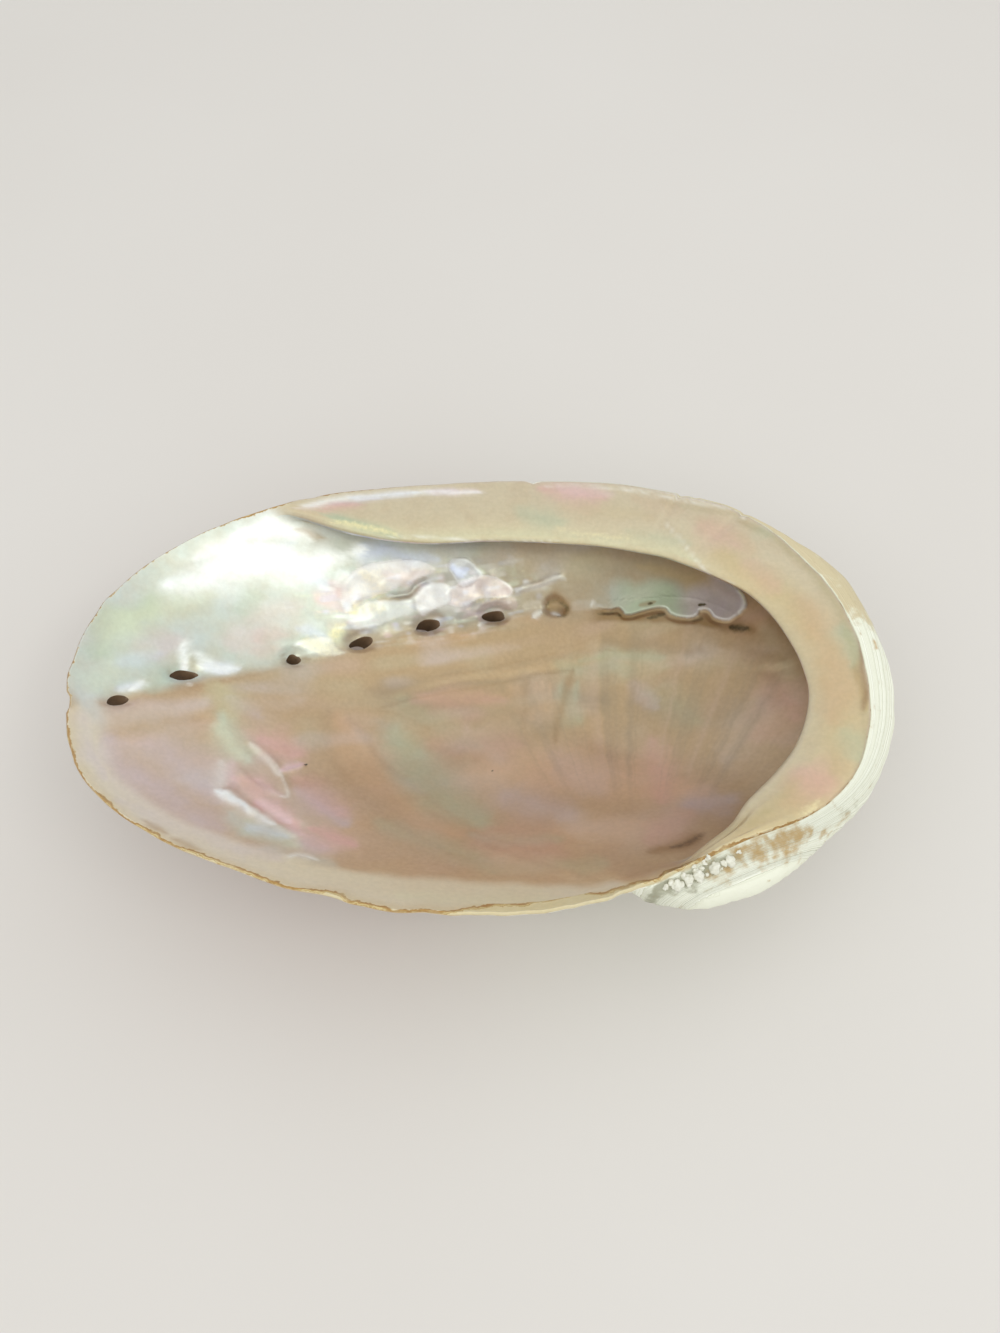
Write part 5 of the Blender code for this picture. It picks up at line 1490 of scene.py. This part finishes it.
def make_stage():
    """Pale board that the shell lies on, faintly uneven in tone."""
    mesh = mesh_of("floor", [(-3, -3, 0), (3, -3, 0), (3, 3, 0), (-3, 3, 0)], [(0, 1, 2, 3)])
    mesh.materials.append(mottled("pale_board", 6.0, "CFCAC2", "D6D2CB", 0.7))
    floor = put("floor", mesh)


# Area lights: name, direction, size, power; all stand as far from the shell
LIGHTS = (
    ("skylight", (0.38, 0.13, 0.915), (1.10, 0.90), 1.5),
    ("window", (0.50, -0.27, 0.82), (0.28, 0.15), 0.8),
    ("fill", (-0.55, -0.30, 0.78), (0.80, 0.80), 1.1),
    ("front", (0.20, -0.70, 0.68), (0.70, 0.40), 0.5),
)
LIGHT_DISTANCE = 0.9


def make_light():
    """Soft light from a pale room, with a brighter window towards the right."""
    world = bpy.data.worlds.new("soft_room")
    bpy.context.scene.world = world
    world.use_nodes = True
    back = world.node_tree.nodes["Background"]
    back.inputs["Color"].default_value = linear("F2F4F6")
    back.inputs["Strength"].default_value = 0.95
    for name, place, size, power in LIGHTS:
        data = bpy.data.lights.new(name, "AREA")
        data.shape = "RECTANGLE"
        data.size, data.size_y = size
        data.energy = power
        data.color = linear("FCFDFF")[:3]
        light = put(name, data)
        away = Vector(place).normalized()
        light.location = Vector((0.0, 0.0, 0.02)) + away * LIGHT_DISTANCE
        light.rotation_euler = away.to_track_quat("Z", "Y").to_euler()
    bpy.context.scene.view_settings.view_transform = "Standard"


# Focal length and the photograph's longer side, both in its pixels
FOCAL_PIXELS, LONG_SIDE = 1002, 1333
SENSOR = 36.0


def make_camera():
    """Camera of the photograph, tipped towards the back."""
    data = bpy.data.cameras.new("camera")
    data.sensor_width = SENSOR
    data.lens = SENSOR * FOCAL_PIXELS / LONG_SIDE
    data.clip_start = 0.001
    camera = put("camera", data)
    camera.location = (0.00098, -0.08757, 0.21116)
    camera.rotation_euler = (math.radians(26.3), 0, 0)
    bpy.context.scene.camera = camera


make_camera()
make_light()
make_stage()
shell = make_shell()
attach(shell, "root")
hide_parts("shell")
grit = make_grit(shell)
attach(grit, "root")
